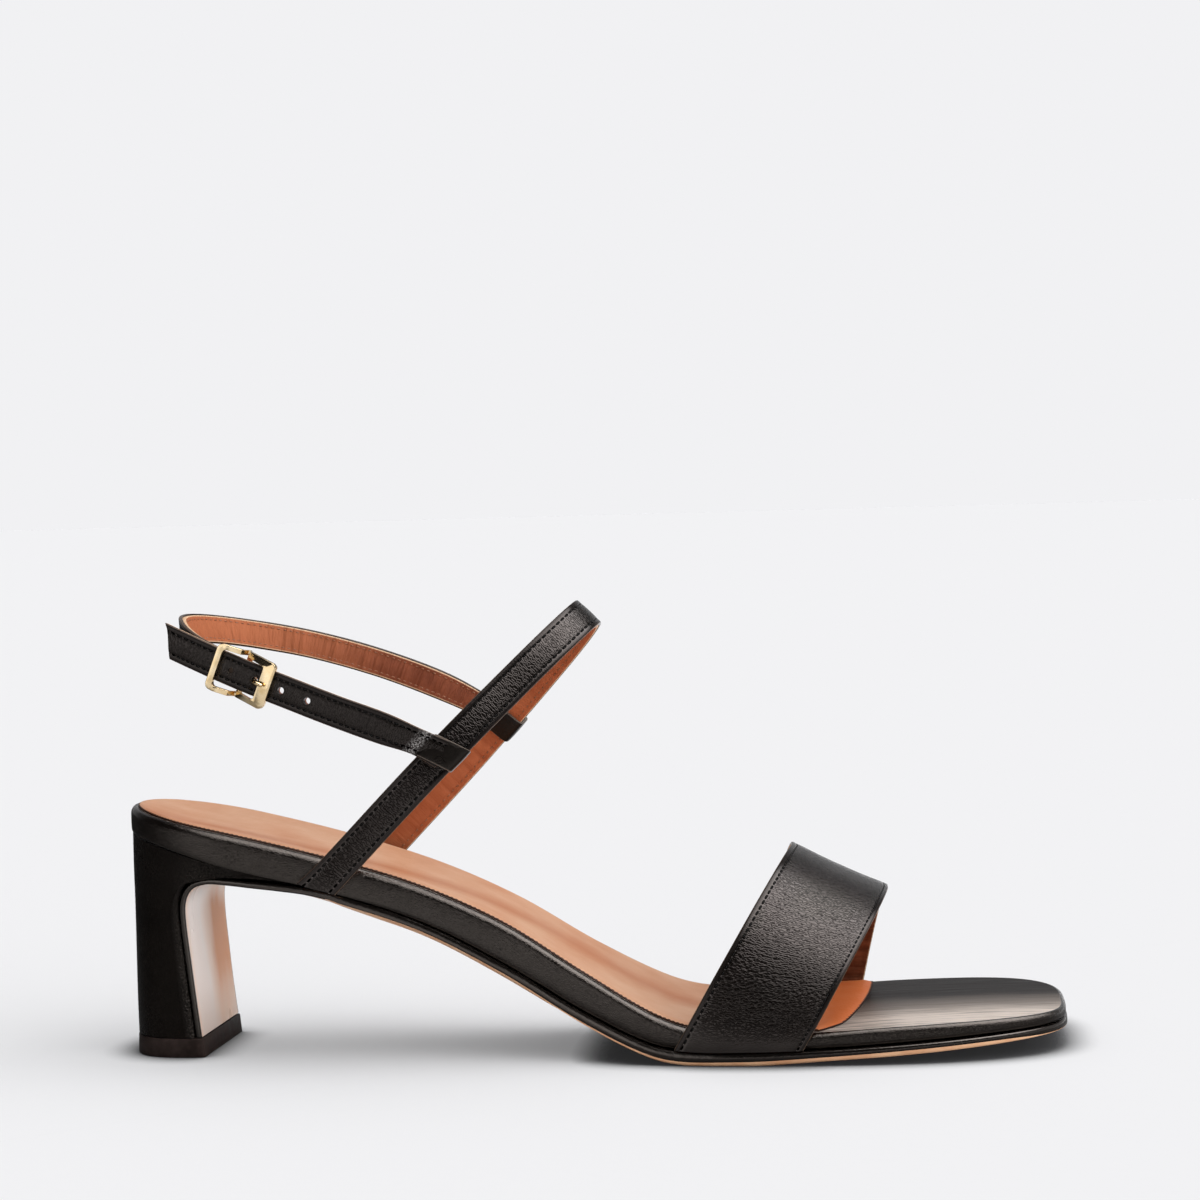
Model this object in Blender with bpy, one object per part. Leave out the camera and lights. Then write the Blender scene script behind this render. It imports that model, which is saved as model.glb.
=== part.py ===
"""Heeled sandal, right foot: block heel, leather sole, tan sock, vamp strap and buckled ankle straps."""
import math

import bmesh
import bpy
from mathutils import Vector

# All sizes are in millimetres. A station is the distance forward from the back of the heel.
# The lateral (outer) side is -Y and the medial (inner) side is +Y. Meshes are made in metres.
MM = 0.001
LENGTH = 241.4
MIDDLE_Y = 0.6
GAP = 0.3

# Footbed: plan outline
SEAT_ROUND = 27.0
TREAD_LINE = 172.0
TOE_END = 240.9
TOE_TIP_Y = 3.5
TOE_POWER = {-1: (2.1, 5.0), 1: (5.6, 2.6)}

# station, lateral half width, medial half width
PLAN = (
    (27.0, 27.0, 27.0),
    (50.0, 27.0, 26.2),
    (75.0, 26.2, 22.8),
    (100.0, 27.6, 20.2),
    (118.0, 30.8, 20.6),
    (135.0, 34.6, 27.0),
    (152.0, 37.2, 35.0),
    (164.0, 37.9, 38.3),
    (171.0, 38.0, 39.2),
    (172.0, 38.0, 39.2),
)

# Footbed: side view at the edge
# station, top, underside
BED = (
    (0.0, 64.2, 57.6),
    (12.0, 61.6, 54.9),
    (32.0, 57.2, 48.9),
    (56.0, 51.0, 43.0),
    (79.0, 43.7, 35.2),
    (100.0, 34.3, 24.6),
    (120.0, 22.2, 13.0),
    (137.0, 12.5, 5.2),
    (147.0, 8.9, 3.6),
    (160.0, 7.5, 3.5),
    (180.0, 7.9, 4.0),
    (200.0, 8.9, 5.0),
    (225.0, 9.7, 6.5),
    (241.0, 10.0, 7.4),
)
SEAT_DISH = 1.2

# inset from the outline, share of the side height
BED_SIDE = (
    (0.8, 0.0),
    (0.1, 0.18),
    (0.0, 0.65),
    (0.3, 0.86),
    (0.9, 0.97),
    (1.9, 1.0),
)

# Sock laid on the footbed
SOCK_THICK = 0.8
SOCK_INSET = 2.0
SOCK_END = 186.0

# y, station of the front edge
SOCK_FRONT = (
    (-36.0, 179.0),
    (-28.0, 184.2),
    (-14.0, 187.2),
    (2.0, 189.4),
    (19.0, 191.0),
    (38.0, 191.8),
)

# Outsole: tread line from the arch to the toe, with a flat spot under the ball
FLAT_FROM = 147.0
FLAT_TO = 163.0
LIP_FORE = 1.4
LIP_TOE = 0.5
LIP_ARCH = 0.4
ARCH_CROWN = 3.0

# station, tread height
TREAD = (
    (56.0, 40.7),
    (79.0, 32.7),
    (100.0, 21.8),
    (120.0, 9.9),
    (137.0, 1.9),
    (147.0, 0.0),
    (163.0, 0.0),
    (180.0, 1.0),
    (200.0, 2.1),
    (225.0, 3.9),
    (242.0, 5.3),
)

# Outsole behind the arch: under the heel's wedge, round the bend and down the heel's front
# station, height, half width, thickness
FLAP = (
    (56.0, 40.7, 25.6, 2.0),
    (50.0, 42.1, 25.2, 1.9),
    (43.0, 43.1, 24.8, 1.8),
    (36.0, 43.9, 24.2, 1.7),
    (29.5, 44.6, 23.2, 1.6),
    (24.4, 44.8, 22.2, 1.5),
    (20.4, 43.4, 21.2, 1.5),
    (18.5, 39.8, 20.6, 1.5),
    (18.4, 34.0, 20.0, 1.5),
    (19.3, 24.0, 19.5, 1.5),
    (20.3, 14.0, 19.2, 1.5),
    (21.3, 5.2, 19.2, 1.5),
)

# Heel block and top piece
HEEL_FOOT = 5.2
HEEL_TURN = 0.036
TOP_PIECE = 4.9
TOP_PIECE_BACK = 1.0
TOP_PIECE_FRONT = 22.1
TOP_PIECE_HALF = 19.6

# height, back station, half width, depth of the rounded back, roundness
HEEL = (
    (5.2, 1.2, 19.4, 17.0, 2.6),
    (14.0, 1.1, 19.4, 17.0, 2.6),
    (24.0, 1.0, 19.7, 18.0, 2.5),
    (33.0, 0.9, 20.3, 20.0, 2.4),
    (41.0, 0.8, 21.6, 22.5, 2.3),
    (48.0, 0.7, 23.6, 24.5, 2.2),
    (55.0, 0.7, 25.4, 26.0, 2.1),
    (70.0, 0.7, 26.2, 26.2, 2.0),
)

# Vamp strap over the ball
VAMP_THICK = 1.5
VAMP_ARCH_POWER = 2.5
VAMP_ROLL = 0.07

# share across (rear to front), lateral foot station, crest station, medial foot station, crest height
VAMP = (
    (0.0, 143.3, 171.6, 155.4, 49.2),
    (0.25, 151.2, 178.2, 163.4, 45.6),
    (0.5, 159.2, 184.6, 171.6, 42.4),
    (0.75, 167.3, 190.8, 179.9, 39.6),
    (1.0, 175.3, 196.2, 188.3, 37.3),
)

# Instep strap: an arch in a plane that leans forward
STRAP_THICK = 2.0
INSTEP_WIDTH = 8.6
INSTEP_FOOT = (50.8, 41.0)
INSTEP_LEAN = math.radians(46.0)
INSTEP_RISE = 98.8
INSTEP_SKEW = 3.4
INSTEP_CREST_SKEW = 1.8
INSTEP_BULGE = 3.6
INSTEP_POWER = 2.4
INSTEP_LATERAL = 28.5
INSTEP_MEDIAL = 27.4
LOOP_LENGTH = 8.2
LOOP_WIDTH = 9.8
LOOP_WALL = 0.8

# Punched strap on the lateral side and buckle strap round the heel
SLING_WIDTH = 8.0

# station, y, height, half width share
PUNCHED = (
    (87.0, -32.6, 77.9, 0.95),
    (80.5, -33.0, 81.3, 0.85),
    (72.0, -32.5, 84.7, 1.0),
    (60.0, -31.2, 89.1, 1.0),
    (48.0, -29.6, 93.8, 1.0),
    (36.0, -28.0, 98.6, 1.0),
    (26.0, -26.6, 103.0, 1.0),
    (16.8, -25.2, 107.3, 1.0),
)

# station, y, height, half width share
BUCKLED = (
    (94.3, 30.0, 81.2, 0.9),
    (89.5, 29.9, 85.2, 0.8),
    (78.0, 28.6, 91.4, 0.92),
    (62.0, 27.0, 97.9, 0.92),
    (45.0, 24.8, 103.2, 0.92),
    (30.0, 19.8, 106.7, 0.94),
    (19.5, 11.0, 108.8, 0.97),
    (15.6, 0.0, 109.0, 1.0),
    (17.8, -11.0, 107.0, 1.0),
    (23.4, -19.4, 104.0, 1.0),
    (29.2, -23.2, 101.2, 1.0),
)

# Buckle, in its own plane: along the strap, across it, and out from the foot
BUCKLE_AT = (36.3, -29.05, 98.3)
BUCKLE_ALONG = (0.921, -0.124, -0.37)
BUCKLE_LONG = 16.4
BUCKLE_TALL = 12.2
FRONT_BAR = 3.2
REAR_BAR = 1.5
RAIL = 1.6
FRAME_THICK = 1.5
BAR_RADIUS = 0.8
BAR_DEPTH = 4.9
PRONG_RADIUS = 0.65
PRONG_HOLE = 1.35
PRONG_HOLE_AT = 3.4


def column(rows, number, at):
    """Smooth value of one column of a table at a given first-column value."""
    last = len(rows) - 1
    if at <= rows[0][0]:
        return rows[0][number]
    if at >= rows[last][0]:
        return rows[last][number]
    k = 0
    while rows[k + 1][0] < at:
        k += 1
    span = rows[k + 1][0] - rows[k][0]
    rise = rows[k + 1][number] - rows[k][number]
    slope_a = rise / span
    slope_b = rise / span
    if k > 0:
        slope_a = (rows[k + 1][number] - rows[k - 1][number]) / (rows[k + 1][0] - rows[k - 1][0])
    if k + 1 < last:
        slope_b = (rows[k + 2][number] - rows[k][number]) / (rows[k + 2][0] - rows[k][0])
    t = (at - rows[k][0]) / span
    a = rows[k][number] * (1 + 2 * t) * (1 - t) ** 2 + slope_a * span * t * (1 - t) ** 2
    b = rows[k + 1][number] * t * t * (3 - 2 * t) + slope_b * span * t * t * (t - 1)
    return a + b


def along_rows(rows, count):
    """Points evenly spaced by length along a smooth curve through the rows of a table."""
    fine = []
    for k in range(len(rows) - 1):
        before = rows[max(k - 1, 0)]
        after = rows[min(k + 2, len(rows) - 1)]
        for step in range(12):
            t = step / 12
            point = []
            for p0, p1, p2, p3 in zip(before, rows[k], rows[k + 1], after):
                bend = (p2 - p0) * t + (2 * p0 - 5 * p1 + 4 * p2 - p3) * t * t
                bend += (3 * p1 - p0 - 3 * p2 + p3) * t ** 3
                point.append(p1 + bend / 2)
            fine.append(point)
    fine.append(list(rows[-1]))
    return evenly(fine, count)


def evenly(fine, count):
    """A polyline resampled to a number of equal lengths, measured in its first three columns or fewer."""
    reach = min(3, len(fine[0]))
    length = [0.0]
    for a, b in zip(fine, fine[1:]):
        length.append(length[-1] + math.dist(a[:reach], b[:reach]))
    result = []
    k = 0
    for step in range(count + 1):
        want = length[-1] * step / count
        while k < len(fine) - 2 and length[k + 1] < want:
            k += 1
        t = (want - length[k]) / max(length[k + 1] - length[k], 1e-9)
        result.append([a + (b - a) * t for a, b in zip(fine[k], fine[k + 1])])
    return result


def edge(s, side):
    """Signed y of the footbed's outline at a station, on one side."""
    if s < SEAT_ROUND:
        lap = (SEAT_ROUND - max(s, 0.0)) / SEAT_ROUND
        return side * PLAN[0][1] * math.sqrt(max(0.0, 1 - lap * lap))
    number = 1 if side < 0 else 2
    if s <= TREAD_LINE:
        return side * column(PLAN, number, s)
    reach = min((s - TREAD_LINE) / (TOE_END - TREAD_LINE), 1.0)
    long_power, side_power = TOE_POWER[side]
    full = (1 - reach ** long_power) ** (1 / side_power)
    return TOE_TIP_Y + (side * PLAN[-1][number] - TOE_TIP_Y) * full


def outline(side, seat_steps=9, arch_steps=24, toe_steps=20):
    """Outline points of one side from the back of the heel to the tip of the toe."""
    points = []
    for step in range(seat_steps):
        s = SEAT_ROUND * (1 - math.cos(math.pi / 2 * step / seat_steps))
        points.append((s, edge(s, side)))
    for step in range(arch_steps):
        s = SEAT_ROUND + (TREAD_LINE - SEAT_ROUND) * step / arch_steps
        points.append((s, edge(s, side)))
    fine = []
    for step in range(400):
        s = TREAD_LINE + (TOE_END - TREAD_LINE) * (1 - (1 - step / 400) ** 3)
        fine.append((s, edge(s, side)))
    fine.append((TOE_END, TOE_TIP_Y))
    return points + [tuple(p) for p in evenly(fine, toe_steps)]


def offset_rim(grow):
    """Matching lateral and medial outline points, moved outward along the plan by a distance per station."""
    lateral = outline(-1)
    medial = outline(1)
    ring = lateral + medial[-2:0:-1]
    moved = []
    for k, (s, y) in enumerate(ring):
        before = ring[k - 1]
        after = ring[(k + 1) % len(ring)]
        ds = after[0] - before[0]
        dy = after[1] - before[1]
        size = math.hypot(ds, dy)
        reach = grow(s) if callable(grow) else grow
        moved.append((s + dy / size * reach, y - ds / size * reach))
    half = len(lateral)
    back = [moved[0]] + moved[:half - 1:-1] + [moved[half - 1]]
    return moved[:half], back


def place(s, y, z):
    """A point in metres in the sandal's frame, with its origin under the middle of the length."""
    return Vector(((s - LENGTH / 2) * MM, (y - MIDDLE_Y) * MM, z * MM))


def turned(s, y, z, share=1.0):
    """A point of the heel, which is turned a little from the line of the sole."""
    return place(s + HEEL_TURN * share * y, y, z)


def material(name, color, rough, metal=0.0):
    """Plain material for one sub-part."""
    made = bpy.data.materials.new(name)
    made.use_nodes = True
    shader = made.node_tree.nodes["Principled BSDF"]
    shader.inputs["Base Color"].default_value = (*color, 1.0)
    shader.inputs["Roughness"].default_value = rough
    shader.inputs["Metallic"].default_value = metal
    return made


def solid(name, points, faces, look=None):
    """Closed mesh object from points in metres, with doubles merged and faces turned outward."""
    mesh = bpy.data.meshes.new(name)
    mesh.from_pydata([tuple(p) for p in points], [], faces)
    work = bmesh.new()
    work.from_mesh(mesh)
    bmesh.ops.remove_doubles(work, verts=work.verts, dist=1e-6)
    bmesh.ops.dissolve_degenerate(work, edges=work.edges, dist=1e-7)
    bmesh.ops.triangulate(work, faces=[f for f in work.faces if len(f.verts) > 4])
    bmesh.ops.recalc_face_normals(work, faces=work.faces)
    if work.calc_volume(signed=True) < 0:
        bmesh.ops.reverse_faces(work, faces=work.faces)
    work.to_mesh(mesh)
    work.free()
    made = bpy.data.objects.new(name, mesh)
    bpy.context.scene.collection.objects.link(made)
    if look:
        made.data.materials.append(look)
    return made


def loft(name, rows, look=None, caps=(True, True)):
    """Solid skinned over loops of equal point count, closed with a face at each end that is open."""
    count = len(rows[0])
    points = [p for row in rows for p in row]
    faces = []
    for r in range(len(rows) - 1):
        for k in range(count):
            n = (k + 1) % count
            faces.append((r * count + k, r * count + n, (r + 1) * count + n, (r + 1) * count + k))
    if caps[0]:
        faces.append(tuple(range(count)))
    if caps[1]:
        faces.append(tuple((len(rows) - 1) * count + k for k in reversed(range(count))))
    return solid(name, points, faces, look)


def prism(name, profile, half):
    """Side-view polygon of stations and heights drawn out to both sides."""
    return loft(name, [[turned(s, y, z) for s, z in profile] for y in (-half, half)])


def join(base, tool, how):
    """Combine two solids and remove the tool."""
    step = base.modifiers.new(how.lower(), "BOOLEAN")
    step.operation = how
    step.solver = "EXACT"
    step.object = tool
    bpy.context.view_layer.objects.active = base
    bpy.ops.object.modifier_apply(modifier=step.name)
    bpy.data.objects.remove(tool, do_unlink=True)
    return base


def bed_top(s):
    """Height of the footbed's top edge."""
    return column(BED, 1, s)


def bed_under(s):
    """Height of the footbed's underside."""
    return column(BED, 2, s)


def dish(s):
    """Depth of the hollow across the heel seat, fading out under the arch."""
    fade = min(max((120.0 - s) / 70.0, 0.0), 1.0)
    rise = min(max((s - SOCK_INSET) / 16.0, 0.0), 1.0)
    return SEAT_DISH * fade * fade * (3 - 2 * fade) * rise


def tread(s):
    """Height of the outsole's tread, flat under the ball."""
    if FLAT_FROM <= s <= FLAT_TO:
        return 0.0
    return max(column(TREAD, 1, s), 0.0)


def crown(s, t):
    """Swell of the outsole's underside below its edges under the arch, at a share across."""
    rise = min(max((s - 30.0) / 40.0, 0.0), 1.0) * min(max((132.0 - s) / 30.0, 0.0), 1.0)
    return ARCH_CROWN * rise * rise * (3 - 2 * rise) * (1 - (2 * t - 1) ** 4)


def across(a, b, parts):
    """Inner points of a straight run between two plan points."""
    return [(a[0] + (b[0] - a[0]) * k / parts, a[1] + (b[1] - a[1]) * k / parts, k / parts)
            for k in range(1, parts)]


def make_footbed(look):
    """Insole board wrapped in leather, with a rounded upper rim."""
    rims = [(offset_rim(-inset), share) for inset, share in BED_SIDE]
    rows = []
    for k in range(len(rims[0][0][0])):
        loop = []
        for (lateral, _), share in rims:
            s, y = lateral[k]
            loop.append(place(s, y, bed_under(s) + (bed_top(s) - bed_under(s)) * share))
        (lateral, medial), _ = rims[-1]
        for s, y, t in across(lateral[k], medial[k], 6):
            loop.append(place(s, y, bed_top(s) - dish(s) * (1 - (2 * t - 1) ** 2)))
        for (_, medial), share in reversed(rims):
            s, y = medial[k]
            loop.append(place(s, y, bed_under(s) + (bed_top(s) - bed_under(s)) * share))
        (lateral, medial), _ = rims[0]
        for s, y, t in across(medial[k], lateral[k], 3):
            loop.append(place(s, y, bed_under(s)))
        rows.append(loop)
    return loft("footbed", rows, look, caps=(False, False))


def sock_line(a, b, count):
    """Points across the sock between two edge points, swung forward towards the front arc."""
    line = [[a[0], a[1], 0.0]] + [list(p) for p in across(a, b, count)] + [[b[0], b[1], 1.0]]
    swing = min(max((a[0] - 120.0) / (SOCK_END - 120.0), 0.0), 1.0)
    for point in line:
        point[0] += (column(SOCK_FRONT, 1, point[1]) - SOCK_END) * swing * swing
    for point, side in ((line[0], -1), (line[-1], 1)):
        if point[0] > SEAT_ROUND:
            point[1] = edge(point[0], side) - side * SOCK_INSET
    return line


def make_insole(look):
    """Thin sock from the back of the seat to an arc in front of the vamp strap."""
    lateral, medial = offset_rim(-SOCK_INSET)
    pairs = [pair for pair in zip(lateral, medial) if max(pair[0][0], pair[1][0]) < TREAD_LINE - 3.0]
    for s in (TREAD_LINE, (TREAD_LINE + SOCK_END) / 2, SOCK_END):
        pairs.append(((s, edge(s, -1) + SOCK_INSET), (s, edge(s, 1) - SOCK_INSET)))
    loops = []
    for a, b in pairs:
        top = []
        low = []
        for s, y, t in sock_line(a, b, 8):
            z = bed_top(s) - dish(s) * (1 - (2 * t - 1) ** 2) + GAP
            low.append(place(s, y, z))
            top.append(place(s, y, z + SOCK_THICK))
        loops.append(low + top[::-1])
    return loft("insole", loops, look, caps=(False, True))


def make_outsole(look):
    """Leather sole from the toe to the arch, then round under the wedge and down the heel's front."""
    def lip(s):
        t = min(max((s - 95.0) / 45.0, 0.0), 1.0)
        toe = min(max((s - 205.0) / 34.0, 0.0), 1.0)
        lip_arch = LIP_ARCH + (LIP_FORE - LIP_ARCH) * t * t * (3 - 2 * t)
        return lip_arch + (LIP_TOE - LIP_FORE) * toe * toe * (3 - 2 * toe)

    lateral, medial = offset_rim(lip)
    rows = []
    for k in reversed(range(len(lateral))):
        if min(lateral[k][0], medial[k][0]) < 60.0:
            break
        line = [(*lateral[k], 0.0)] + across(lateral[k], medial[k], 4) + [(*medial[k], 1.0)]
        low = [place(s, y, tread(s) - crown(s, t)) for s, y, t in line]
        top = [place(s, y, bed_under(s) - GAP) for s, y, t in line]
        rows.append(low + top[::-1])
    path = along_rows(FLAP, 34)
    for k, (s, z, half, thick) in enumerate(path):
        before = path[max(k - 1, 0)]
        after = path[min(k + 1, len(path) - 1)]
        ds, dz = after[0] - before[0], after[1] - before[1]
        size = math.hypot(ds, dz)
        if k == len(path) - 1:
            ds, dz, size = 0.0, -1.0, 1.0
        back = (s + dz / size * thick, z - ds / size * thick)
        turn = min(max((58.0 - s) / 34.0, 0.0), 1.0)
        low = [turned(s, half * (c / 2 - 1), z - crown(s, c / 4), turn) for c in range(5)]
        top = [turned(back[0], half * (c / 2 - 1), back[1], turn) for c in range(5)]
        rows.append(low + top[::-1])
    return loft("outsole", rows, look, caps=(False, True))


def flap_back(clear):
    """Side-view line behind the flap and above the wedge part of the outsole."""
    path = along_rows(FLAP, 34)
    line = []
    for k, (s, z, half, thick) in enumerate(path):
        before = path[max(k - 1, 0)]
        after = path[min(k + 1, len(path) - 1)]
        ds, dz = after[0] - before[0], after[1] - before[1]
        size = math.hypot(ds, dz)
        line.append((s + dz / size * (thick + clear), z - ds / size * (thick + clear)))
    return line


def heel_ring(z, back, half, deep, power, front):
    """Level heel section: straight sides, square front and rounded back."""
    points = []
    for step in range(19):
        angle = math.pi * (step / 18 - 0.5)
        y = half * math.copysign(abs(math.sin(angle)) ** (2 / power), angle)
        s = back + deep * (1 - abs(math.cos(angle)) ** (2 / power))
        points.append(turned(s, y, z))
    points.append(turned(front, half, z))
    points.append(turned(front, -half, z))
    return points


def make_heel(look):
    """Heel block, cut to the curved front and to the footbed's seat."""
    rows = []
    for step in range(15):
        z = HEEL_FOOT + (HEEL[-1][0] - HEEL_FOOT) * step / 14
        values = [column(HEEL, c, z) for c in range(1, 5)]
        rows.append(heel_ring(z, *values, 74.0))
    heel = loft("heel", rows, look)
    front = flap_back(GAP)
    low = front[-1]
    cut = [(90.0, -6.0), (90.0, front[0][1] - 10.0)] + front + [(low[0] + 0.1, -6.0)]
    join(heel, prism("front_cutter", cut, 60.0), "DIFFERENCE")
    seat = [(-10.0 + 2.0 * k, bed_under(-10.0 + 2.0 * k) - GAP) for k in range(50)]
    join(heel, prism("seat_cutter", seat + [(90.0, 95.0), (-10.0, 95.0)], 70.0), "DIFFERENCE")
    return heel


def make_top_piece(look):
    """Tread block under the heel."""
    low = heel_ring(0.0, TOP_PIECE_BACK, TOP_PIECE_HALF, 17.0, 2.6, TOP_PIECE_FRONT)
    high = heel_ring(TOP_PIECE, TOP_PIECE_BACK + 0.1, TOP_PIECE_HALF, 17.0, 2.6, TOP_PIECE_FRONT - 0.5)
    return loft("top_piece", [low, high], look)


def vamp_point(share, angle):
    """Point on the inner face of the vamp strap, across its width and round its arch."""
    foot = column(VAMP, 1 if angle < math.pi / 2 else 3, share)
    crest = column(VAMP, 2, share)
    rise = abs(math.sin(angle)) ** (2 / VAMP_ARCH_POWER)
    side = abs(math.cos(angle)) ** (2 / VAMP_ARCH_POWER)
    s = foot + (crest - foot) * ((1 - VAMP_ROLL) * rise + VAMP_ROLL * (1 - side))
    start = bed_under(foot)
    z = start + (column(VAMP, 4, share) - start) * rise
    sign = -1 if angle < math.pi / 2 else 1
    y = (edge(s, sign) + sign * GAP) * side
    return Vector((s, y, z))


def make_vamp_strap(look):
    """Broad strap lasted down both sides of the footbed."""
    steps, parts = 44, 8
    rows = []
    for k in range(steps + 1):
        angle = math.pi * k / steps
        inner = []
        outer = []
        for c in range(parts + 1):
            share = c / parts
            point = vamp_point(share, angle)
            round_a = vamp_point(share, max(angle - 0.02, 0.0))
            round_b = vamp_point(share, min(angle + 0.02, math.pi))
            wide_a = vamp_point(max(share - 0.05, 0.0), angle)
            wide_b = vamp_point(min(share + 0.05, 1.0), angle)
            out = (round_b - round_a).cross(wide_b - wide_a).normalized()
            if out.y * point.y < 0 and abs(point.y) > 5 or abs(point.y) <= 5 and out.z < 0:
                out = -out
            if k in (0, steps):
                out = Vector((0, math.copysign(1, point.y), 0))
            inner.append(place(*point))
            outer.append(place(*(point + out * VAMP_THICK)))
        rows.append(inner + outer[::-1])
    return loft("vamp_strap", rows, look)


def band_rows(points, width, thick, ups):
    """Loops of a flat strap along points, given the way its width runs and its half width share."""
    rows = []
    for k, point in enumerate(points):
        before = Vector(points[max(k - 1, 0)][:3])
        after = Vector(points[min(k + 1, len(points) - 1)][:3])
        run = (after - before).normalized()
        up = ups[k]
        up = (up - run * up.dot(run)).normalized()
        out = run.cross(up)
        half = width / 2 * (point[3] if len(point) > 3 else 1.0)
        deep = thick[k] / 2 if isinstance(thick, list) else thick / 2
        middle = Vector(point[:3])
        loop = []
        for u, v in ((-1, -1), (0, -1), (1, -1), (1, 1), (0, 1), (-1, 1)):
            loop.append(place(*(middle + up * half * u + out * deep * v)))
        rows.append(loop)
    return rows


def instep_point(angle):
    """Middle of the instep strap round its arch."""
    rise = abs(math.sin(angle)) ** (2 / INSTEP_POWER)
    side = abs(math.cos(angle)) ** (2 / INSTEP_POWER)
    reach = INSTEP_LATERAL if angle < math.pi / 2 else INSTEP_MEDIAL
    swell = max(rise - 0.14, 0.0) / 0.86
    reach += INSTEP_BULGE * math.sin(math.pi * min(swell * 1.25, 1.0)) ** 2
    y = -side * reach if angle < math.pi / 2 else side * reach
    climb = INSTEP_RISE * rise
    skew = INSTEP_SKEW * max(-math.cos(angle), 0.0) ** 1.5 + INSTEP_CREST_SKEW * math.sin(angle) ** 2
    s = INSTEP_FOOT[0] + climb * math.cos(INSTEP_LEAN) + skew * math.sin(INSTEP_LEAN)
    z = INSTEP_FOOT[1] + climb * math.sin(INSTEP_LEAN) - skew * math.cos(INSTEP_LEAN)
    return (s, y, z)


def make_instep():
    """Instep strap from one side of the footbed to the other."""
    fine = [instep_point(math.pi * k / 400) for k in range(401)]
    points = evenly(fine, 60)
    width_way = Vector((-math.sin(INSTEP_LEAN), 0, math.cos(INSTEP_LEAN)))
    return loft("ankle_straps", band_rows(points, INSTEP_WIDTH, STRAP_THICK, [width_way] * len(points)))


def make_loop(name, at):
    """Sleeve round the instep strap, thick enough to take the end of an ankle strap outside it."""
    path = [Vector(instep_point(math.pi * k / 400)) for k in range(401)]
    near = [k for k in range(1, 400) if path[k].y * at[1] > 0]
    k = min(near, key=lambda n: math.hypot(path[n].x - at[0], path[n].z - at[2]))
    run = (path[k + 1] - path[k - 1]).normalized()
    wide = Vector((-math.sin(INSTEP_LEAN), 0, math.cos(INSTEP_LEAN)))
    wide = (wide - run * wide.dot(run)).normalized()
    out = run.cross(wide)
    low = -STRAP_THICK / 2 - LOOP_WALL
    high = (Vector(at) - path[k]).dot(out) + STRAP_THICK / 2 + 0.1
    middle = path[k] + out * (low + high) / 2
    rows = []
    for step in (-1, 1):
        loop = []
        for n in range(16):
            angle = 2 * math.pi * (n + 0.5) / 16
            u = math.copysign(abs(math.cos(angle)) ** 0.5, math.cos(angle)) * LOOP_WIDTH / 2
            v = math.copysign(abs(math.sin(angle)) ** 0.5, math.sin(angle)) * (high - low) / 2
            loop.append(place(*(middle + run * step * LOOP_LENGTH / 2 + wide * u + out * v)))
        rows.append(loop)
    return loft(name, rows)


def buckle_axes():
    """Directions along the strap, across it and out from the foot at the buckle."""
    along = Vector(BUCKLE_ALONG).normalized()
    tall = (Vector((0, 0, 1)) - along * along.z).normalized()
    return along, tall, along.cross(tall)


def at_buckle(u, v, w):
    """Point in the buckle's own plane."""
    along, tall, out = buckle_axes()
    return Vector(BUCKLE_AT) + along * u + tall * v + out * w


def make_ankle_straps(look):
    """Instep strap with the punched strap and the buckle strap joined to it at their loops."""
    straps = make_instep()
    straps.data.materials.append(look)
    up = Vector((0, 0, 1))
    punched = [p[:] for p in along_rows(PUNCHED, 34)]
    rows = band_rows(punched, SLING_WIDTH, STRAP_THICK, [up] * len(punched))
    lateral = loft("punched", rows)
    hole = [at_buckle(PRONG_HOLE_AT + PRONG_HOLE * math.cos(a), PRONG_HOLE * math.sin(a), 0)
            for a in (2 * math.pi * k / 12 for k in range(12))]
    out = buckle_axes()[2]
    join(lateral, loft("hole_cutter", [[place(*(p + out * w)) for p in hole] for w in (-3.2, 1.2)]), "DIFFERENCE")
    buckled = [p[:] for p in along_rows(BUCKLED, 46)]
    thick = [STRAP_THICK] * len(buckled)
    turn = BAR_RADIUS + GAP + 0.5
    for u, w, t in ((-4.2, -3.4, 2.0), (-2.2, -3.15, 1.4)):
        buckled.append([*at_buckle(u, 0, w), 1.0])
        thick.append(t)
    for step in range(9):
        angle = math.radians(90 - 25 * step)
        buckled.append([*at_buckle(turn * math.cos(angle), 0, turn * math.sin(angle) - BAR_DEPTH), 1.0])
        thick.append(1.0)
    ways = [up] * (len(buckled) - 11) + [buckle_axes()[1]] * 11
    medial = loft("buckled", band_rows(buckled, SLING_WIDTH, thick, ways))
    slot = []
    for v in (-1.2, 1.2):
        slot.append([place(*at_buckle(u, v, w)) for u, w in ((-3.0, -2.4), (3.4, -2.4), (3.4, -8.0), (-3.0, -8.0))])
    join(medial, loft("slot_cutter", slot), "DIFFERENCE")
    foot = [(20.0 + 4.0 * k, bed_under(20.0 + 4.0 * k) + GAP) for k in range(20)]
    join(straps, prism("foot_cutter", foot + [(96.0, 0.0), (20.0, 0.0)], 60.0), "DIFFERENCE")
    for piece in (lateral, make_loop("near_loop", PUNCHED[0][:3]), medial, make_loop("far_loop", BUCKLED[0][:3])):
        join(straps, piece, "UNION")
    return straps


def box(name, u, v, w):
    """Block in the buckle's own plane between pairs of limits."""
    low = [place(*at_buckle(a, b, w[0])) for a, b in ((u[0], v[0]), (u[1], v[0]), (u[1], v[1]), (u[0], v[1]))]
    high = [place(*at_buckle(a, b, w[1])) for a, b in ((u[0], v[0]), (u[1], v[0]), (u[1], v[1]), (u[0], v[1]))]
    return loft(name, [low, high])


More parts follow.
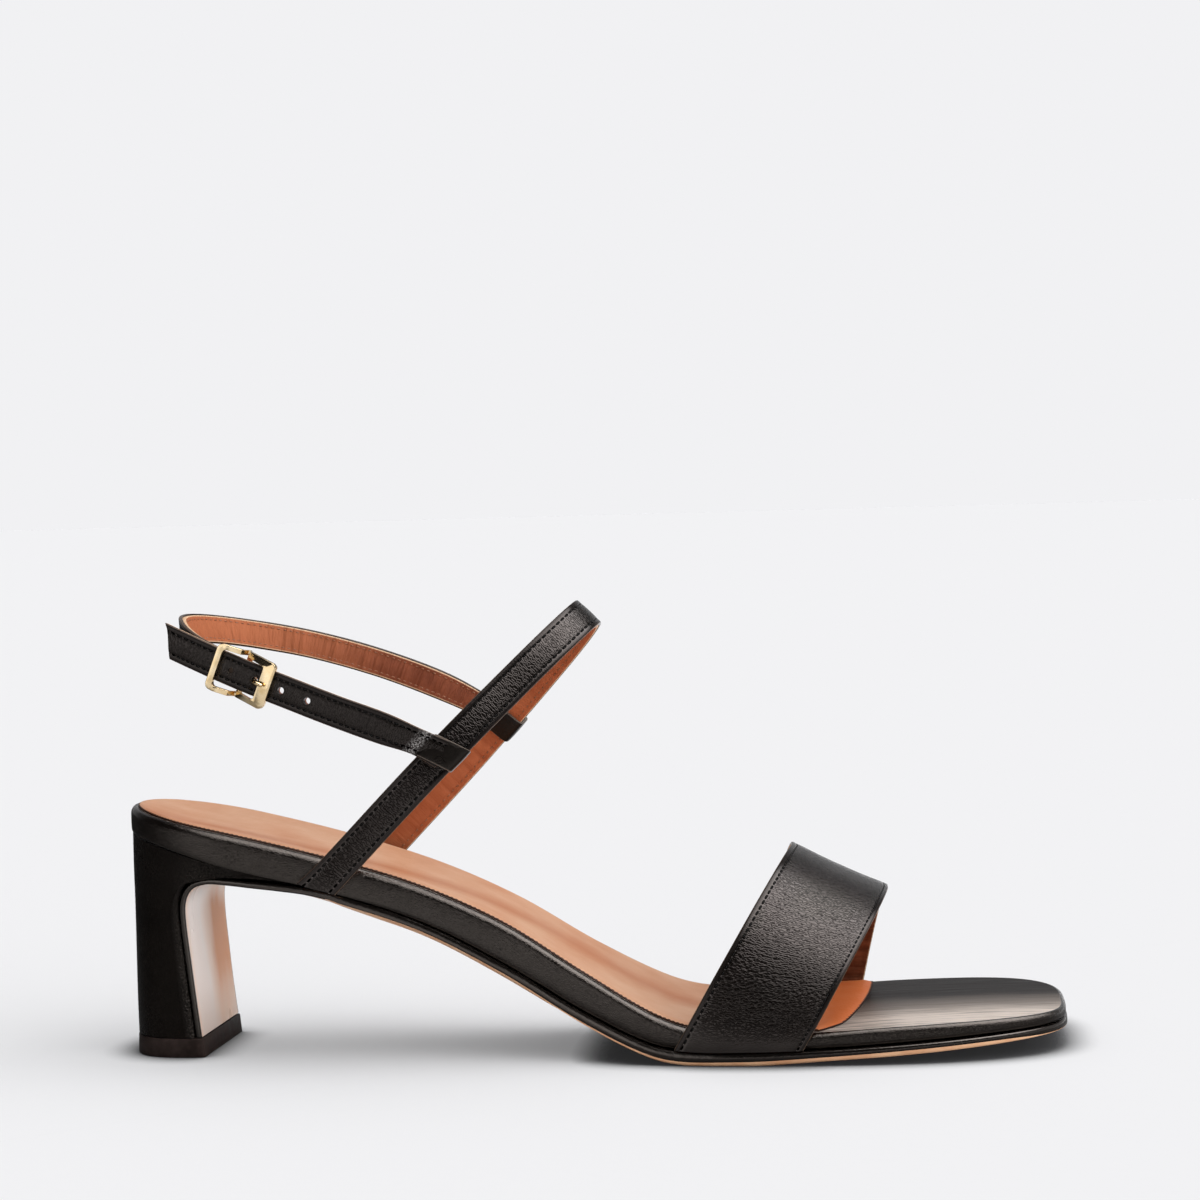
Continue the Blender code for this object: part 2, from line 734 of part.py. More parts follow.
def rounded_plate(name, half_u, half_v, corner, w):
    """Plate with rounded corners in the buckle's own plane."""
    rows = []
    for depth in w:
        loop = []
        for cu, cv, start in ((1, 1, 0), (-1, 1, 90), (-1, -1, 180), (1, -1, 270)):
            for step in range(5):
                angle = math.radians(start + 22.5 * step)
                u = cu * (half_u - corner) + corner * math.cos(angle)
                v = cv * (half_v - corner) + corner * math.sin(angle)
                loop.append(place(*at_buckle(u, v, depth)))
        rows.append(loop)
    return loft(name, rows)


def make_buckle_frame(look):
    """Frame with a broad front bar, a thin rear bar and a centre bar behind the strap."""
    half_u, half_v = BUCKLE_LONG / 2, BUCKLE_TALL / 2
    frame = rounded_plate("buckle_frame", half_u, half_v, 1.6, (GAP, GAP + FRAME_THICK))
    frame.data.materials.append(look)
    window = box("window_cutter", (REAR_BAR - half_u, half_u - FRONT_BAR), (RAIL - half_v, half_v - RAIL), (-1, 4))
    join(frame, window, "DIFFERENCE")
    for side in (-1, 1):
        v = sorted((side * (half_v - RAIL), side * half_v))
        lug = []
        for depth, reach in ((GAP + 0.6, 2.4), (-1.5, 1.5), (-BAR_DEPTH - BAR_RADIUS, 1.1)):
            lug.append([place(*at_buckle(a, b, depth)) for a, b in ((-reach, v[0]), (reach, v[0]),
                                                                    (reach, v[1]), (-reach, v[1]))])
        join(frame, loft("lug", lug), "UNION")
    bar = []
    for v in (-half_v + 0.5, half_v - 0.5):
        bar.append([place(*at_buckle(BAR_RADIUS * math.cos(a), v, BAR_RADIUS * math.sin(a) - BAR_DEPTH))
                    for a in (2 * math.pi * k / 12 for k in range(12))])
    return join(frame, loft("bar", bar), "UNION")


def make_buckle_prong(look):
    """Pin hooked on the centre bar, up through the hole and onto the front bar."""
    hook = BAR_RADIUS + GAP + PRONG_RADIUS
    path = []
    for step in range(11):
        angle = math.radians(150 + 20 * step)
        path.append((hook * math.cos(angle), hook * math.sin(angle) - BAR_DEPTH))
    over = GAP + FRAME_THICK + GAP + PRONG_RADIUS
    path += [(2.3, -3.6), (2.8, -2.0), (3.2, -0.6), (3.6, 0.9), (4.2, over - 0.3), (5.0, over), (6.8, over)]
    rows = []
    for k, (u, w) in enumerate(path):
        before, after = path[max(k - 1, 0)], path[min(k + 1, len(path) - 1)]
        du, dw = after[0] - before[0], after[1] - before[1]
        size = math.hypot(du, dw)
        thin = 0.75 if k in (0, len(path) - 1) else 1.0
        loop = []
        for step in range(10):
            angle = 2 * math.pi * step / 10
            out = PRONG_RADIUS * thin * math.cos(angle)
            v = PRONG_RADIUS * thin * math.sin(angle)
            loop.append(place(*at_buckle(u - dw / size * out, v, w + du / size * out)))
        rows.append(loop)
    return loft("buckle_prong", rows, look)


for old in list(bpy.data.objects):
    bpy.data.objects.remove(old, do_unlink=True)

black = (0.012, 0.011, 0.011)
tan = (0.56, 0.33, 0.2)
make_outsole(material("sole_leather", (0.62, 0.45, 0.36), 0.45))
make_footbed(material("footbed_leather", black, 0.4))
make_insole(material("sock_leather", tan, 0.5))
make_heel(material("heel_cover", black, 0.4))
make_top_piece(material("top_piece_rubber", (0.03, 0.022, 0.02), 0.6))
make_vamp_strap(material("vamp_leather", black, 0.42))
make_ankle_straps(material("strap_leather", black, 0.42))
make_buckle_frame(material("buckle_metal", (0.83, 0.68, 0.42), 0.22, 1.0))
make_buckle_prong(material("prong_metal", (0.83, 0.68, 0.42), 0.22, 1.0))
for made in bpy.data.objects:
    made.data.shade_smooth()
    made.data.set_sharp_from_angle(angle=math.radians(35.0))
    print(made.name, len(made.data.vertices), len(made.data.polygons))
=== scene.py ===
# %% [markdown]
# A heeled sandal, piece by piece
#
# A sandal is a stack of simple things: a sole, a board wrapped in leather, a sock that the foot
# stands on, a heel, and straps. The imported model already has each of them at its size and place.
# This lesson makes the pieces again with finer meshes, stitches and finishes, each one where the
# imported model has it. Sizes are in millimetres, counted forward from the back of the heel.

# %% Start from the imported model
import math

import bpy
from mathutils import Matrix, Vector, noise


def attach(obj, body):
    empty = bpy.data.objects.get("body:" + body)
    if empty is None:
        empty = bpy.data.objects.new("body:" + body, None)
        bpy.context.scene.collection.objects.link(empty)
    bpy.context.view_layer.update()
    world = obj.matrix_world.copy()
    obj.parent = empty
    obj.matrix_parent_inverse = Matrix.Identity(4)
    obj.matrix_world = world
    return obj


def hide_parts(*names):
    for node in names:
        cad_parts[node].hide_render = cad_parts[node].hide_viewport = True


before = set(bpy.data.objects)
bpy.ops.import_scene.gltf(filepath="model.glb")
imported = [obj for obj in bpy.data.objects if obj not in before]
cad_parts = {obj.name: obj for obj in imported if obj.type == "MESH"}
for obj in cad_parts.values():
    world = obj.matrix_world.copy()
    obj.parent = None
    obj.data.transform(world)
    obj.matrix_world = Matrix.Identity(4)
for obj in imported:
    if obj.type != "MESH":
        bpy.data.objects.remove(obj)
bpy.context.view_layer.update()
bpy.ops.object.select_all(action="DESELECT")
MM = 0.001
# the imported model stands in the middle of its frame, the drawings start at the heel
LENGTH = 241.4
MIDDLE_Y = 0.6
print("packed nodes:", sorted(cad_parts))

# %% [markdown]
# Where the shapes come from
#
# Shoes are drawn on a last, as sections at stations along the foot. Here each drawing is a small
# table, and a smooth curve runs through its rows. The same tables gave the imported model, so what is
# made from them falls in the same place, only with more points along the curve.

# %% Tables of the footbed and the sock
SEAT_ROUND = 27.0
TREAD_LINE = 172.0
TOE_END = 240.9
TOE_TIP_Y = 3.5
TOE_POWER = {-1: (2.1, 4.5), 1: (5.6, 2.6)}
SEAT_DISH = 1.2
SOCK_INSET = 2.0
SOCK_END = 186.0

# station, lateral half width, medial half width
PLAN = (
    (27.0, 27.0, 27.0), (50.0, 27.0, 26.2), (75.0, 26.2, 22.8), (100.0, 27.6, 20.2), (118.0, 30.8, 20.6),
    (135.0, 34.6, 27.0), (152.0, 37.2, 35.0), (164.0, 37.9, 38.3), (171.0, 38.0, 39.2), (172.0, 38.0, 39.2),
)

# station, top, underside
BED = (
    (0.0, 64.2, 57.6), (12.0, 61.6, 54.9), (32.0, 57.2, 48.9), (56.0, 51.0, 43.0), (79.0, 43.7, 35.2),
    (100.0, 34.3, 24.6), (120.0, 22.2, 13.0), (137.0, 12.5, 5.2), (147.0, 8.9, 3.6), (160.0, 7.5, 3.5),
    (180.0, 7.9, 4.0), (200.0, 8.9, 5.0), (225.0, 9.7, 6.5), (241.0, 10.0, 7.4),
)

# y, station of the sock's front edge
SOCK_FRONT = (
    (-36.0, 179.0), (-28.0, 184.2), (-14.0, 187.2), (2.0, 189.4), (19.0, 191.0), (38.0, 191.8),
)
print("stations of the outline and the footbed:", len(PLAN), len(BED))

# %% Tables of the sole and the heel
ARCH_CROWN = 3.0
HEEL_TURN = 0.036

# station, tread height
TREAD = (
    (56.0, 40.7), (79.0, 32.7), (100.0, 21.8), (120.0, 9.9), (137.0, 1.9), (147.0, 0.0), (163.0, 0.0),
    (180.0, 1.0), (200.0, 2.1), (225.0, 3.9), (242.0, 5.3),
)
BALL = (147.0, 163.0)

# station, height, half width, thickness
FLAP = (
    (56.0, 40.7, 25.6, 2.0), (50.0, 42.1, 25.2, 1.9), (43.0, 43.1, 24.8, 1.8), (36.0, 43.9, 24.2, 1.7),
    (29.5, 44.6, 23.2, 1.6), (24.4, 44.8, 22.2, 1.5), (20.4, 43.4, 21.2, 1.5), (18.5, 39.8, 20.6, 1.5),
    (18.4, 34.0, 20.0, 1.5), (19.3, 24.0, 19.5, 1.5), (20.3, 14.0, 19.2, 1.5), (21.3, 5.2, 19.2, 1.5),
)

# height, back station, half width, depth of the rounded back, roundness
HEEL = (
    (5.2, 1.2, 19.4, 17.0, 2.6), (14.0, 1.1, 19.4, 17.0, 2.6), (24.0, 1.0, 19.7, 18.0, 2.5),
    (33.0, 0.9, 20.3, 20.0, 2.4), (41.0, 0.8, 21.6, 22.5, 2.3), (48.0, 0.7, 23.6, 24.5, 2.2),
    (55.0, 0.7, 25.4, 26.0, 2.1), (70.0, 0.7, 26.2, 26.2, 2.0),
)
print("rows of the tread, the flap and the heel:", len(TREAD), len(FLAP), len(HEEL))

# %% [markdown]
# Curves through the rows
#
# A last has no corners, so a straight line from row to row would show. One helper reads a smooth
# value from a column of a table. Another runs a smooth curve through whole rows, as a bent strip of
# wood would lie, and spaces its points evenly, because even points give even faces.

# %% Curves through the tables
def column(rows, number, at):
    """Smooth value of one column of a table at a given first-column value."""
    last = len(rows) - 1
    at = min(max(at, rows[0][0]), rows[last][0])
    k = 0
    while k < last - 1 and rows[k + 1][0] < at:
        k += 1
    span = rows[k + 1][0] - rows[k][0]
    rise = rows[k + 1][number] - rows[k][number]
    slope_a = slope_b = rise / span
    if k > 0:
        slope_a = (rows[k + 1][number] - rows[k - 1][number]) / (rows[k + 1][0] - rows[k - 1][0])
    if k + 1 < last:
        slope_b = (rows[k + 2][number] - rows[k][number]) / (rows[k + 2][0] - rows[k][0])
    t = (at - rows[k][0]) / span
    a = rows[k][number] * (1 + 2 * t) * (1 - t) ** 2 + slope_a * span * t * (1 - t) ** 2
    b = rows[k + 1][number] * t * t * (3 - 2 * t) + slope_b * span * t * t * (t - 1)
    return a + b


def between(a, b, t):
    """Point part of the way from one point to another."""
    return tuple(p + (q - p) * t for p, q in zip(a, b))


def evenly(fine, count):
    """A polyline resampled to equal lengths, measured in its first three columns or fewer."""
    reach = min(3, len(fine[0]))
    length = [0.0]
    for a, b in zip(fine, fine[1:]):
        length.append(length[-1] + math.dist(a[:reach], b[:reach]))
    result = []
    k = 0
    for step in range(count + 1):
        want = length[-1] * step / count
        while k < len(fine) - 2 and length[k + 1] < want:
            k += 1
        t = (want - length[k]) / max(length[k + 1] - length[k], 1e-9)
        result.append(between(fine[k], fine[k + 1], t))
    return result


ROW_STEPS = 12


def along_rows(rows, count):
    """Points evenly spaced along a smooth curve through the rows of a table."""
    fine = []
    for k in range(len(rows) - 1):
        before, after = rows[max(k - 1, 0)], rows[min(k + 2, len(rows) - 1)]
        for step in range(ROW_STEPS):
            t = step / ROW_STEPS
            point = []
            for p0, p1, p2, p3 in zip(before, rows[k], rows[k + 1], after):
                bend = (p2 - p0) * t + (2 * p0 - 5 * p1 + 4 * p2 - p3) * t * t
                bend += (3 * p1 - p0 - 3 * p2 + p3) * t ** 3
                point.append(p1 + bend / 2)
            fine.append(point)
    fine.append(rows[-1])
    return evenly(fine, count)


print("width of the footbed at station 100:", column(PLAN, 1, 100.0) + column(PLAN, 2, 100.0))

# %% Steps, directions and places
def ease(value, low, high):
    """Soft step from 0 at the low limit to 1 at the high limit."""
    t = min(max((value - low) / (high - low), 0.0), 1.0)
    return t * t * (3 - 2 * t)


def way_along(line, k):
    """Unit step along a line at one of its points, in its first two columns."""
    before, after = line[max(k - 1, 0)], line[min(k + 1, len(line) - 1)]
    da, db = after[0] - before[0], after[1] - before[1]
    size = math.hypot(da, db)
    return da / size, db / size


def place(s, y, z):
    """A point in metres in the sandal's frame, from station, side and height."""
    return Vector(((s - LENGTH / 2) * MM, (y - MIDDLE_Y) * MM, z * MM))


def turned(s, y, z, share=1.0):
    """A point of the heel, which is turned a little from the line of the sole."""
    return place(s + HEEL_TURN * share * y, y, z)


print("back of the heel in the frame:", place(0.0, 0.0, 0.0))

# %% [markdown]
# Outline of the footbed
#
# Seen from above, the footbed is a half circle at the heel, a waist, and a toe that is rounder on the
# big toe's side. The toe is a rounded-square curve with its own power on each side. Sole, sock and
# board all follow this outline, each a little inside or outside it.

# %% Outline of the footbed
SEAT_STEPS, ARCH_STEPS, TOE_STEPS = 22, 74, 54
TOE_FINE = 400


def edge(s, side):
    """Signed y of the footbed's outline at a station, on one side."""
    if s < SEAT_ROUND:
        lap = (SEAT_ROUND - max(s, 0.0)) / SEAT_ROUND
        return side * PLAN[0][1] * math.sqrt(max(0.0, 1 - lap * lap))
    number = 1 if side < 0 else 2
    if s <= TREAD_LINE:
        return side * column(PLAN, number, s)
    reach = min((s - TREAD_LINE) / (TOE_END - TREAD_LINE), 1.0)
    long_power, side_power = TOE_POWER[side]
    full = (1 - reach ** long_power) ** (1 / side_power)
    return TOE_TIP_Y + (side * PLAN[-1][number] - TOE_TIP_Y) * full


def outline(side):
    """Outline points of one side from the back of the heel to the tip of the toe."""
    seat = [SEAT_ROUND * (1 - math.cos(math.pi / 2 * step / SEAT_STEPS)) for step in range(SEAT_STEPS)]
    arch = [SEAT_ROUND + (TREAD_LINE - SEAT_ROUND) * step / ARCH_STEPS for step in range(ARCH_STEPS)]
    fine = []
    for step in range(TOE_FINE):
        s = TREAD_LINE + (TOE_END - TREAD_LINE) * (1 - (1 - step / TOE_FINE) ** 3)
        fine.append((s, edge(s, side)))
    fine.append((TOE_END, TOE_TIP_Y))
    return [(s, edge(s, side)) for s in seat + arch] + evenly(fine, TOE_STEPS)


LATERAL, MEDIAL = outline(-1), outline(1)
STATIONS = len(LATERAL) - 1


def rim(grow):
    """Lateral and medial outline points moved outward in plan, by a distance or one per station."""
    ring = LATERAL + MEDIAL[-2:0:-1]
    moved = []
    for k, (s, y) in enumerate(ring):
        before, after = ring[k - 1], ring[(k + 1) % len(ring)]
        ds, dy = after[0] - before[0], after[1] - before[1]
        size = math.hypot(ds, dy)
        reach = grow(s) if callable(grow) else grow
        moved.append((s + dy / size * reach, y - ds / size * reach))
    half = len(LATERAL)
    return moved[:half], [moved[0]] + moved[:half - 1:-1] + [moved[half - 1]]


print("outline points on each side:", STATIONS + 1)

# %% Heights of the footbed and the tread
DISH_END, DISH_FADE, DISH_RISE = 120.0, 70.0, 16.0


def bed_top(s):
    """Height of the footbed's top edge."""
    return column(BED, 1, s)


def bed_under(s):
    """Height of the footbed's underside."""
    return column(BED, 2, s)


def dish(s, t):
    """Depth of the hollow in the heel seat at a station and a share across."""
    fade = ease(DISH_END - s, 0.0, DISH_FADE)
    rise = min(max((s - SOCK_INSET) / DISH_RISE, 0.0), 1.0)
    return SEAT_DISH * fade * rise * (1 - (2 * t - 1) ** 2)


def tread(s):
    """Height of the outsole's tread, flat under the ball."""
    return 0.0 if BALL[0] <= s <= BALL[1] else max(column(TREAD, 1, s), 0.0)


print("heel seat and ball, heights of the top:", bed_top(0.0), bed_top(BALL[1]))

# %% [markdown]
# Tools used on every piece
#
# A grid is the easiest start for a leather skin: it has rows and columns, as a hide has a length and
# a width. The grid is added with its own operator and its points are then laid on the drawn surface.
# Each point also keeps where it lies on its piece, in millimetres along, across and in from the cut
# edge, in an attribute called lay. Finishes read it where wear or creases follow the leather.

# %% Lay a grid on a surface
def lay_skin(name, rows, columns, where):
    """A grid laid on a surface. where(row, column) gives a point and its place on the piece."""
    bpy.ops.object.select_all(action="DESELECT")
    bpy.ops.mesh.primitive_grid_add(x_subdivisions=rows, y_subdivisions=columns, size=1.0)
    piece = bpy.context.object
    piece.name = piece.data.name = name
    lay = piece.data.attributes.new("lay", "FLOAT_VECTOR", "POINT")
    for k, point in enumerate(piece.data.vertices):
        spot, chart = where(round((point.co.x + 0.5) * rows), round((point.co.y + 0.5) * columns))
        point.co = spot
        lay.data[k].vector = chart
    return piece


print("made the helper lay_skin")

# %% [markdown]
# A laid grid is still open along its seam and at its ends. Points that fall together are merged, the
# ends are filled, and the faces are turned outward, which is what a closed leather needs. Last, each
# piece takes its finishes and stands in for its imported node.

# %% Close a piece, use a modifier on it, dress it
MERGE = 0.002 * MM
SLIVER = 0.0005 * MM


def pick(piece):
    """Select one piece alone and make it active."""
    bpy.ops.object.select_all(action="DESELECT")
    piece.select_set(True)
    bpy.context.view_layer.objects.active = piece


def in_edit(piece):
    """Go to edit mode with all of one piece selected."""
    pick(piece)
    bpy.ops.object.mode_set(mode="EDIT")
    bpy.ops.mesh.select_all(action="SELECT")


def close_up(piece, drop_slivers=True):
    """Merge points that fall together, fill open ends and turn the faces outward."""
    in_edit(piece)
    bpy.ops.mesh.remove_doubles(threshold=MERGE)
    if drop_slivers:
        bpy.ops.mesh.dissolve_degenerate(threshold=SLIVER)
    bpy.ops.mesh.fill_holes(sides=0)
    bpy.ops.mesh.normals_make_consistent(inside=False)
    bpy.ops.object.mode_set(mode="OBJECT")
    return piece


def apply_tool(piece, kind, **settings):
    """Add a modifier to a piece and apply it."""
    pick(piece)
    bpy.ops.object.modifier_add(type=kind)
    step = piece.modifiers[-1]
    for key, value in settings.items():
        setattr(step, key, value)
    bpy.ops.object.modifier_apply(modifier=step.name)
    return piece


def dress(piece, node, slot, *looks, angle=40.0):
    """Give a piece its finishes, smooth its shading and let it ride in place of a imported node."""
    if piece.data.materials:
        piece.data.materials.clear()
    for look in looks:
        piece.data.materials.append(look)
    pick(piece)
    bpy.ops.object.shade_smooth_by_angle(angle=math.radians(angle))
    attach(piece, "root")
    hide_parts(node)
    print(f"{piece.name}: {len(piece.data.vertices)} points, {len(piece.data.polygons)} faces")


print("points closer than this are merged, in metres:", MERGE)

# %% [markdown]
# Leather, ink, metal and rubber
#
# A finish could be a picture wrapped on each piece, but then every piece would need its own
# unwrapping. Here each finish is a small net of nodes that works out colour, roughness and bumps from
# the place on the piece, so it keeps its scale everywhere. The helpers add such nodes and join them.

# %% Node helpers
def new_look(name, color, rough, **sockets):
    """A material with its shader's plain values set."""
    look = bpy.data.materials.new(name)
    look.use_nodes = True
    shader = look.node_tree.nodes["Principled BSDF"]
    shader.inputs["Base Color"].default_value = (*color, 1.0)
    shader.inputs["Roughness"].default_value = rough
    for key, value in sockets.items():
        shader.inputs[key.replace("_", " ")].default_value = value
    return look


def put(look, kind, inputs=(), **settings):
    """Add a node. Each input is a socket name or number with a value or another node's output."""
    made = look.node_tree.nodes.new("ShaderNode" + kind)
    for key, value in settings.items():
        setattr(made, key, value)
    for key, value in dict(inputs).items():
        if isinstance(value, bpy.types.NodeSocket):
            look.node_tree.links.new(value, made.inputs[key])
        else:
            made.inputs[key].default_value = value
    return made


def feed(look, socket, output):
    """Link an output to a socket of the material's shader."""
    look.node_tree.links.new(output, look.node_tree.nodes["Principled BSDF"].inputs[socket])


def object_place(look):
    """Place on the object, in metres."""
    return put(look, "TexCoord").outputs["Object"]


def lay_place(look):
    """Place on the piece: along, across and in from the cut edge, in millimetres."""
    return put(look, "Attribute", attribute_name="lay").outputs["Vector"]


def split(look, where):
    """The X, Y and Z of a place."""
    return put(look, "SeparateXYZ", {"Vector": where}).outputs


def stretch(look, where, *scale):
    """A place with its three axes scaled apart, for patterns that are longer one way."""
    return put(look, "Mapping", {"Vector": where, "Scale": scale}).outputs["Vector"]


print("materials before the finishes:", len(bpy.data.materials))

# %% Sums, colours and bumps
def reckon(look, kind, *values):
    """Result of a sum on one to three values."""
    return put(look, "Math", enumerate(values), operation=kind).outputs["Value"]


def times(look, value, *others):
    """Product of several values."""
    for other in others:
        value = reckon(look, "MULTIPLY", value, other)
    return value


def reach_of(look, vector):
    """Length of a vector."""
    return put(look, "VectorMath", {0: vector}, operation="LENGTH").outputs["Value"]


def spread(look, value, low, high, to_low=0.0, to_high=1.0):
    """A value mapped from one range to another and held inside it."""
    ends = {"From Min": low, "From Max": high, "To Min": to_low, "To Max": to_high}
    return put(look, "MapRange", {"Value": value, **ends}).outputs["Result"]


def cloud(look, where, scale, detail=2.0, rough=0.5):
    """Soft noise."""
    kind = {"Vector": where, "Scale": scale, "Detail": detail, "Roughness": rough}
    return put(look, "TexNoise", kind).outputs["Fac"]


def ramp(look, value, *stops):
    """Colour ramp over a value, from pairs of position and colour."""
    made = put(look, "ValToRGB", {"Fac": value})
    bar = made.color_ramp.elements
    while len(bar) < len(stops):
        bar.new(0.5)
    for stop, (at, color) in zip(bar, stops):
        stop.position = at
        stop.color = (*color, 1.0)
    return made.outputs["Color"]


def blend(look, share, first, second):
    """Colour part of the way from one colour to another."""
    ends = {6: first, 7: second}
    for number, color in ends.items():
        if isinstance(color, tuple):
            ends[number] = (*color, 1.0)
    return put(look, "Mix", {0: share, **ends}, data_type="RGBA").outputs[2]


def raise_by(look, height, deep, strength=1.0, under=None):
    """Bump of a depth in millimetres, on top of another bump."""
    inputs = {"Height": height, "Distance": deep * MM, "Strength": strength}
    if under:
        inputs["Normal"] = under
    return put(look, "Bump", inputs).outputs["Normal"]


print("made the helpers for sums, colours and bumps")

# %% [markdown]
# Black leathers
#
# Smooth black leather is almost black paint on a skin of small pebbles. The pebbles are cells of a
# Voronoi pattern about half a millimetre wide, pushed about by noise so that no row shows. Ink on the
# sole's edge is the same with wider, flatter cells. The heel's leather is duller, and shines only where
# it was worked: along the heel's front edge and in the crook behind the arch.

# %% Black leathers
INK = (0.0042, 0.0032, 0.0026)
WARM_GLOSS = (1.0, 0.88, 0.79, 1.0)
PEBBLE_SWAY = (0.7 * MM,) * 3
# the heel's crook, in metres back along the object and up
CROOK_BACK, CROOK_UP = 0.0965, 0.046


def paler(color, share):
    """A colour made lighter by a share."""
    return tuple(share * part for part in color)


def black_leather(name, cell, depth, rough, gloss):
    """Smooth black leather, with the width of its pebbles and their depth in millimetres."""
    look = new_look(name, INK, rough, Specular_IOR_Level=gloss, Specular_Tint=WARM_GLOSS)
    where = object_place(look)
    sway = put(look, "TexNoise", {"Vector": where, "Scale": 900.0, "Detail": 2.0}).outputs["Color"]
    bent = put(look, "VectorMath", {0: sway, 1: PEBBLE_SWAY, 2: where}, operation="MULTIPLY_ADD")
    pebble = put(look, "TexVoronoi", {"Vector": bent.outputs["Vector"], "Scale": 1 / MM / cell},
                 feature="DISTANCE_TO_EDGE").outputs["Distance"]
    bump = raise_by(look, cloud(look, where, 240.0, 3.0), 0.4, 0.25)
    bump = raise_by(look, spread(look, pebble, 0.0, 0.3), depth, 1.0, bump)
    feed(look, "Normal", raise_by(look, cloud(look, where, 5200.0), 0.03, 0.5, bump))
    worn = cloud(look, where, 75.0, 4.0)
    feed(look, "Roughness", spread(look, worn, 0.3, 0.7, rough + 0.06, rough - 0.05))
    feed(look, "Base Color", ramp(look, worn, (0.35, INK), (0.75, paler(INK, 1.8))))
    return look


def heel_leather(dull=0.1, shining=0.34):
    """Thin leather of the heel, dull at the back, shining along its front edge and in the crook."""
    look = black_leather("heel_black", 0.55, 0.06, 0.3, dull)
    where = object_place(look)
    bead = spread(look, split(look, lay_place(look))["Z"], 1.4, 2.6, 1.0, 0.0)
    side_view = {0: where, 1: (1.0, 0.0, 1.0), 2: (CROOK_BACK, 0.0, -CROOK_UP)}
    off = put(look, "VectorMath", side_view, operation="MULTIPLY_ADD").outputs["Vector"]
    crook = spread(look, reach_of(look, off), 0.003, 0.01, 1.0, 0.0)
    worked = reckon(look, "MAXIMUM", bead, crook)
    bump = look.node_tree.nodes["Principled BSDF"].inputs["Normal"].links[0].from_socket
    bump = raise_by(look, cloud(look, where, 950.0), 0.5, crook, bump)
    feed(look, "Normal", raise_by(look, cloud(look, where, 1900.0), 0.5, worked, bump))
    feed(look, "Specular IOR Level", spread(look, worked, 0.0, 1.0, dull, shining))
    return look


smooth_black = black_leather("smooth_black", 0.5, 0.03, 0.1, 0.64)
heel_black = heel_leather()
edge_ink = black_leather("edge_ink", 1.4, 0.012, 0.13, 0.9)
print("black leathers:", [look.name for look in (smooth_black, heel_black, edge_ink)])

# %% [markdown]
# Strap leather
#
# The straps have the liveliest skin: fine wrinkles that cross the strap in broken waves, flatter at
# the sole and along the edge. Bands bent by noise look much like them. They are laid in the strap's
# own lengths, so they bend with it. Along the seam each stitch draws a small pit with painted shade
# in it. The cut edge is painted brown and made lighter with a painted highlight, and the punched strap
# has a painted highlight in pale creases where it is pulled through its loop and bends.

# %% Wrinkles, pits and painted highlights of a strap
STITCH_PITCH = 1.8
SEAM = 1.5
# the punched strap's lengths are counted from here, so a finish can tell it from the others
PUNCHED_MARK = 1000.0
MARK_STEP = (PUNCHED_MARK / 2, PUNCHED_MARK / 2 + 1.0)


def wrinkles_left(look, lay):
    """Share of the wrinkles that is left: few at the sole and the edge, fewer on the punched strap."""
    at_sole = spread(look, lay["X"], 2.0, 9.0, 0.12, 1.0)
    at_edge = spread(look, lay["Z"], 1.4, 2.2, 0.25, 1.0)
    return times(look, at_sole, at_edge, spread(look, lay["X"], *MARK_STEP, 1.0, 0.7))


def stitch_far(look, lay):
    """Distance from the nearest stitch, on a scale where its pit reaches to 1."""
    step = reckon(look, "MODULO", lay["X"], STITCH_PITCH)
    long_way, wide_way = STITCH_PITCH / 1.3, 3.9
    off = {"X": spread(look, step, 0.0, STITCH_PITCH, -long_way, long_way),
           "Y": spread(look, lay["Z"], SEAM - 1.0, SEAM + 1.0, -wide_way, wide_way)}
    return reach_of(look, put(look, "CombineXYZ", off).outputs["Vector"])


def painted_bend_highlight(look, where, lay):
    """Painted highlight in pale creases across the punched strap, where it bends on a slant just past its
    loop.
    """
    slant = reckon(look, "MULTIPLY_ADD", lay["Y"], 0.325, lay["X"])
    begin = spread(look, slant, PUNCHED_MARK + 5.2, PUNCHED_MARK + 6.4)
    end = spread(look, slant, PUNCHED_MARK + 7.6, PUNCHED_MARK + 9.6, 1.0, 0.0)
    return times(look, begin, end, spread(look, cloud(look, where, 2.2, 1.0), 0.46, 0.62))


print("stitches in 100 mm of seam:", int(100 / STITCH_PITCH))

# %% Strap and loop leathers
# strap colours: cut edge with a painted highlight, a painted highlight on a bend, painted shade in pits
CUT_EDGE_HIGHLIGHT, BROWN_MARGIN = (0.1, 0.068, 0.05), (0.013, 0.0105, 0.0095)
CREASE_HIGHLIGHT, PIT_SHADE = (0.3, 0.285, 0.275), (0.0006, 0.0005, 0.0005)
# loop edge colour: a lighter cut edge with a painted highlight along it
LOOP_EDGE_HIGHLIGHT = (0.13, 0.105, 0.085)


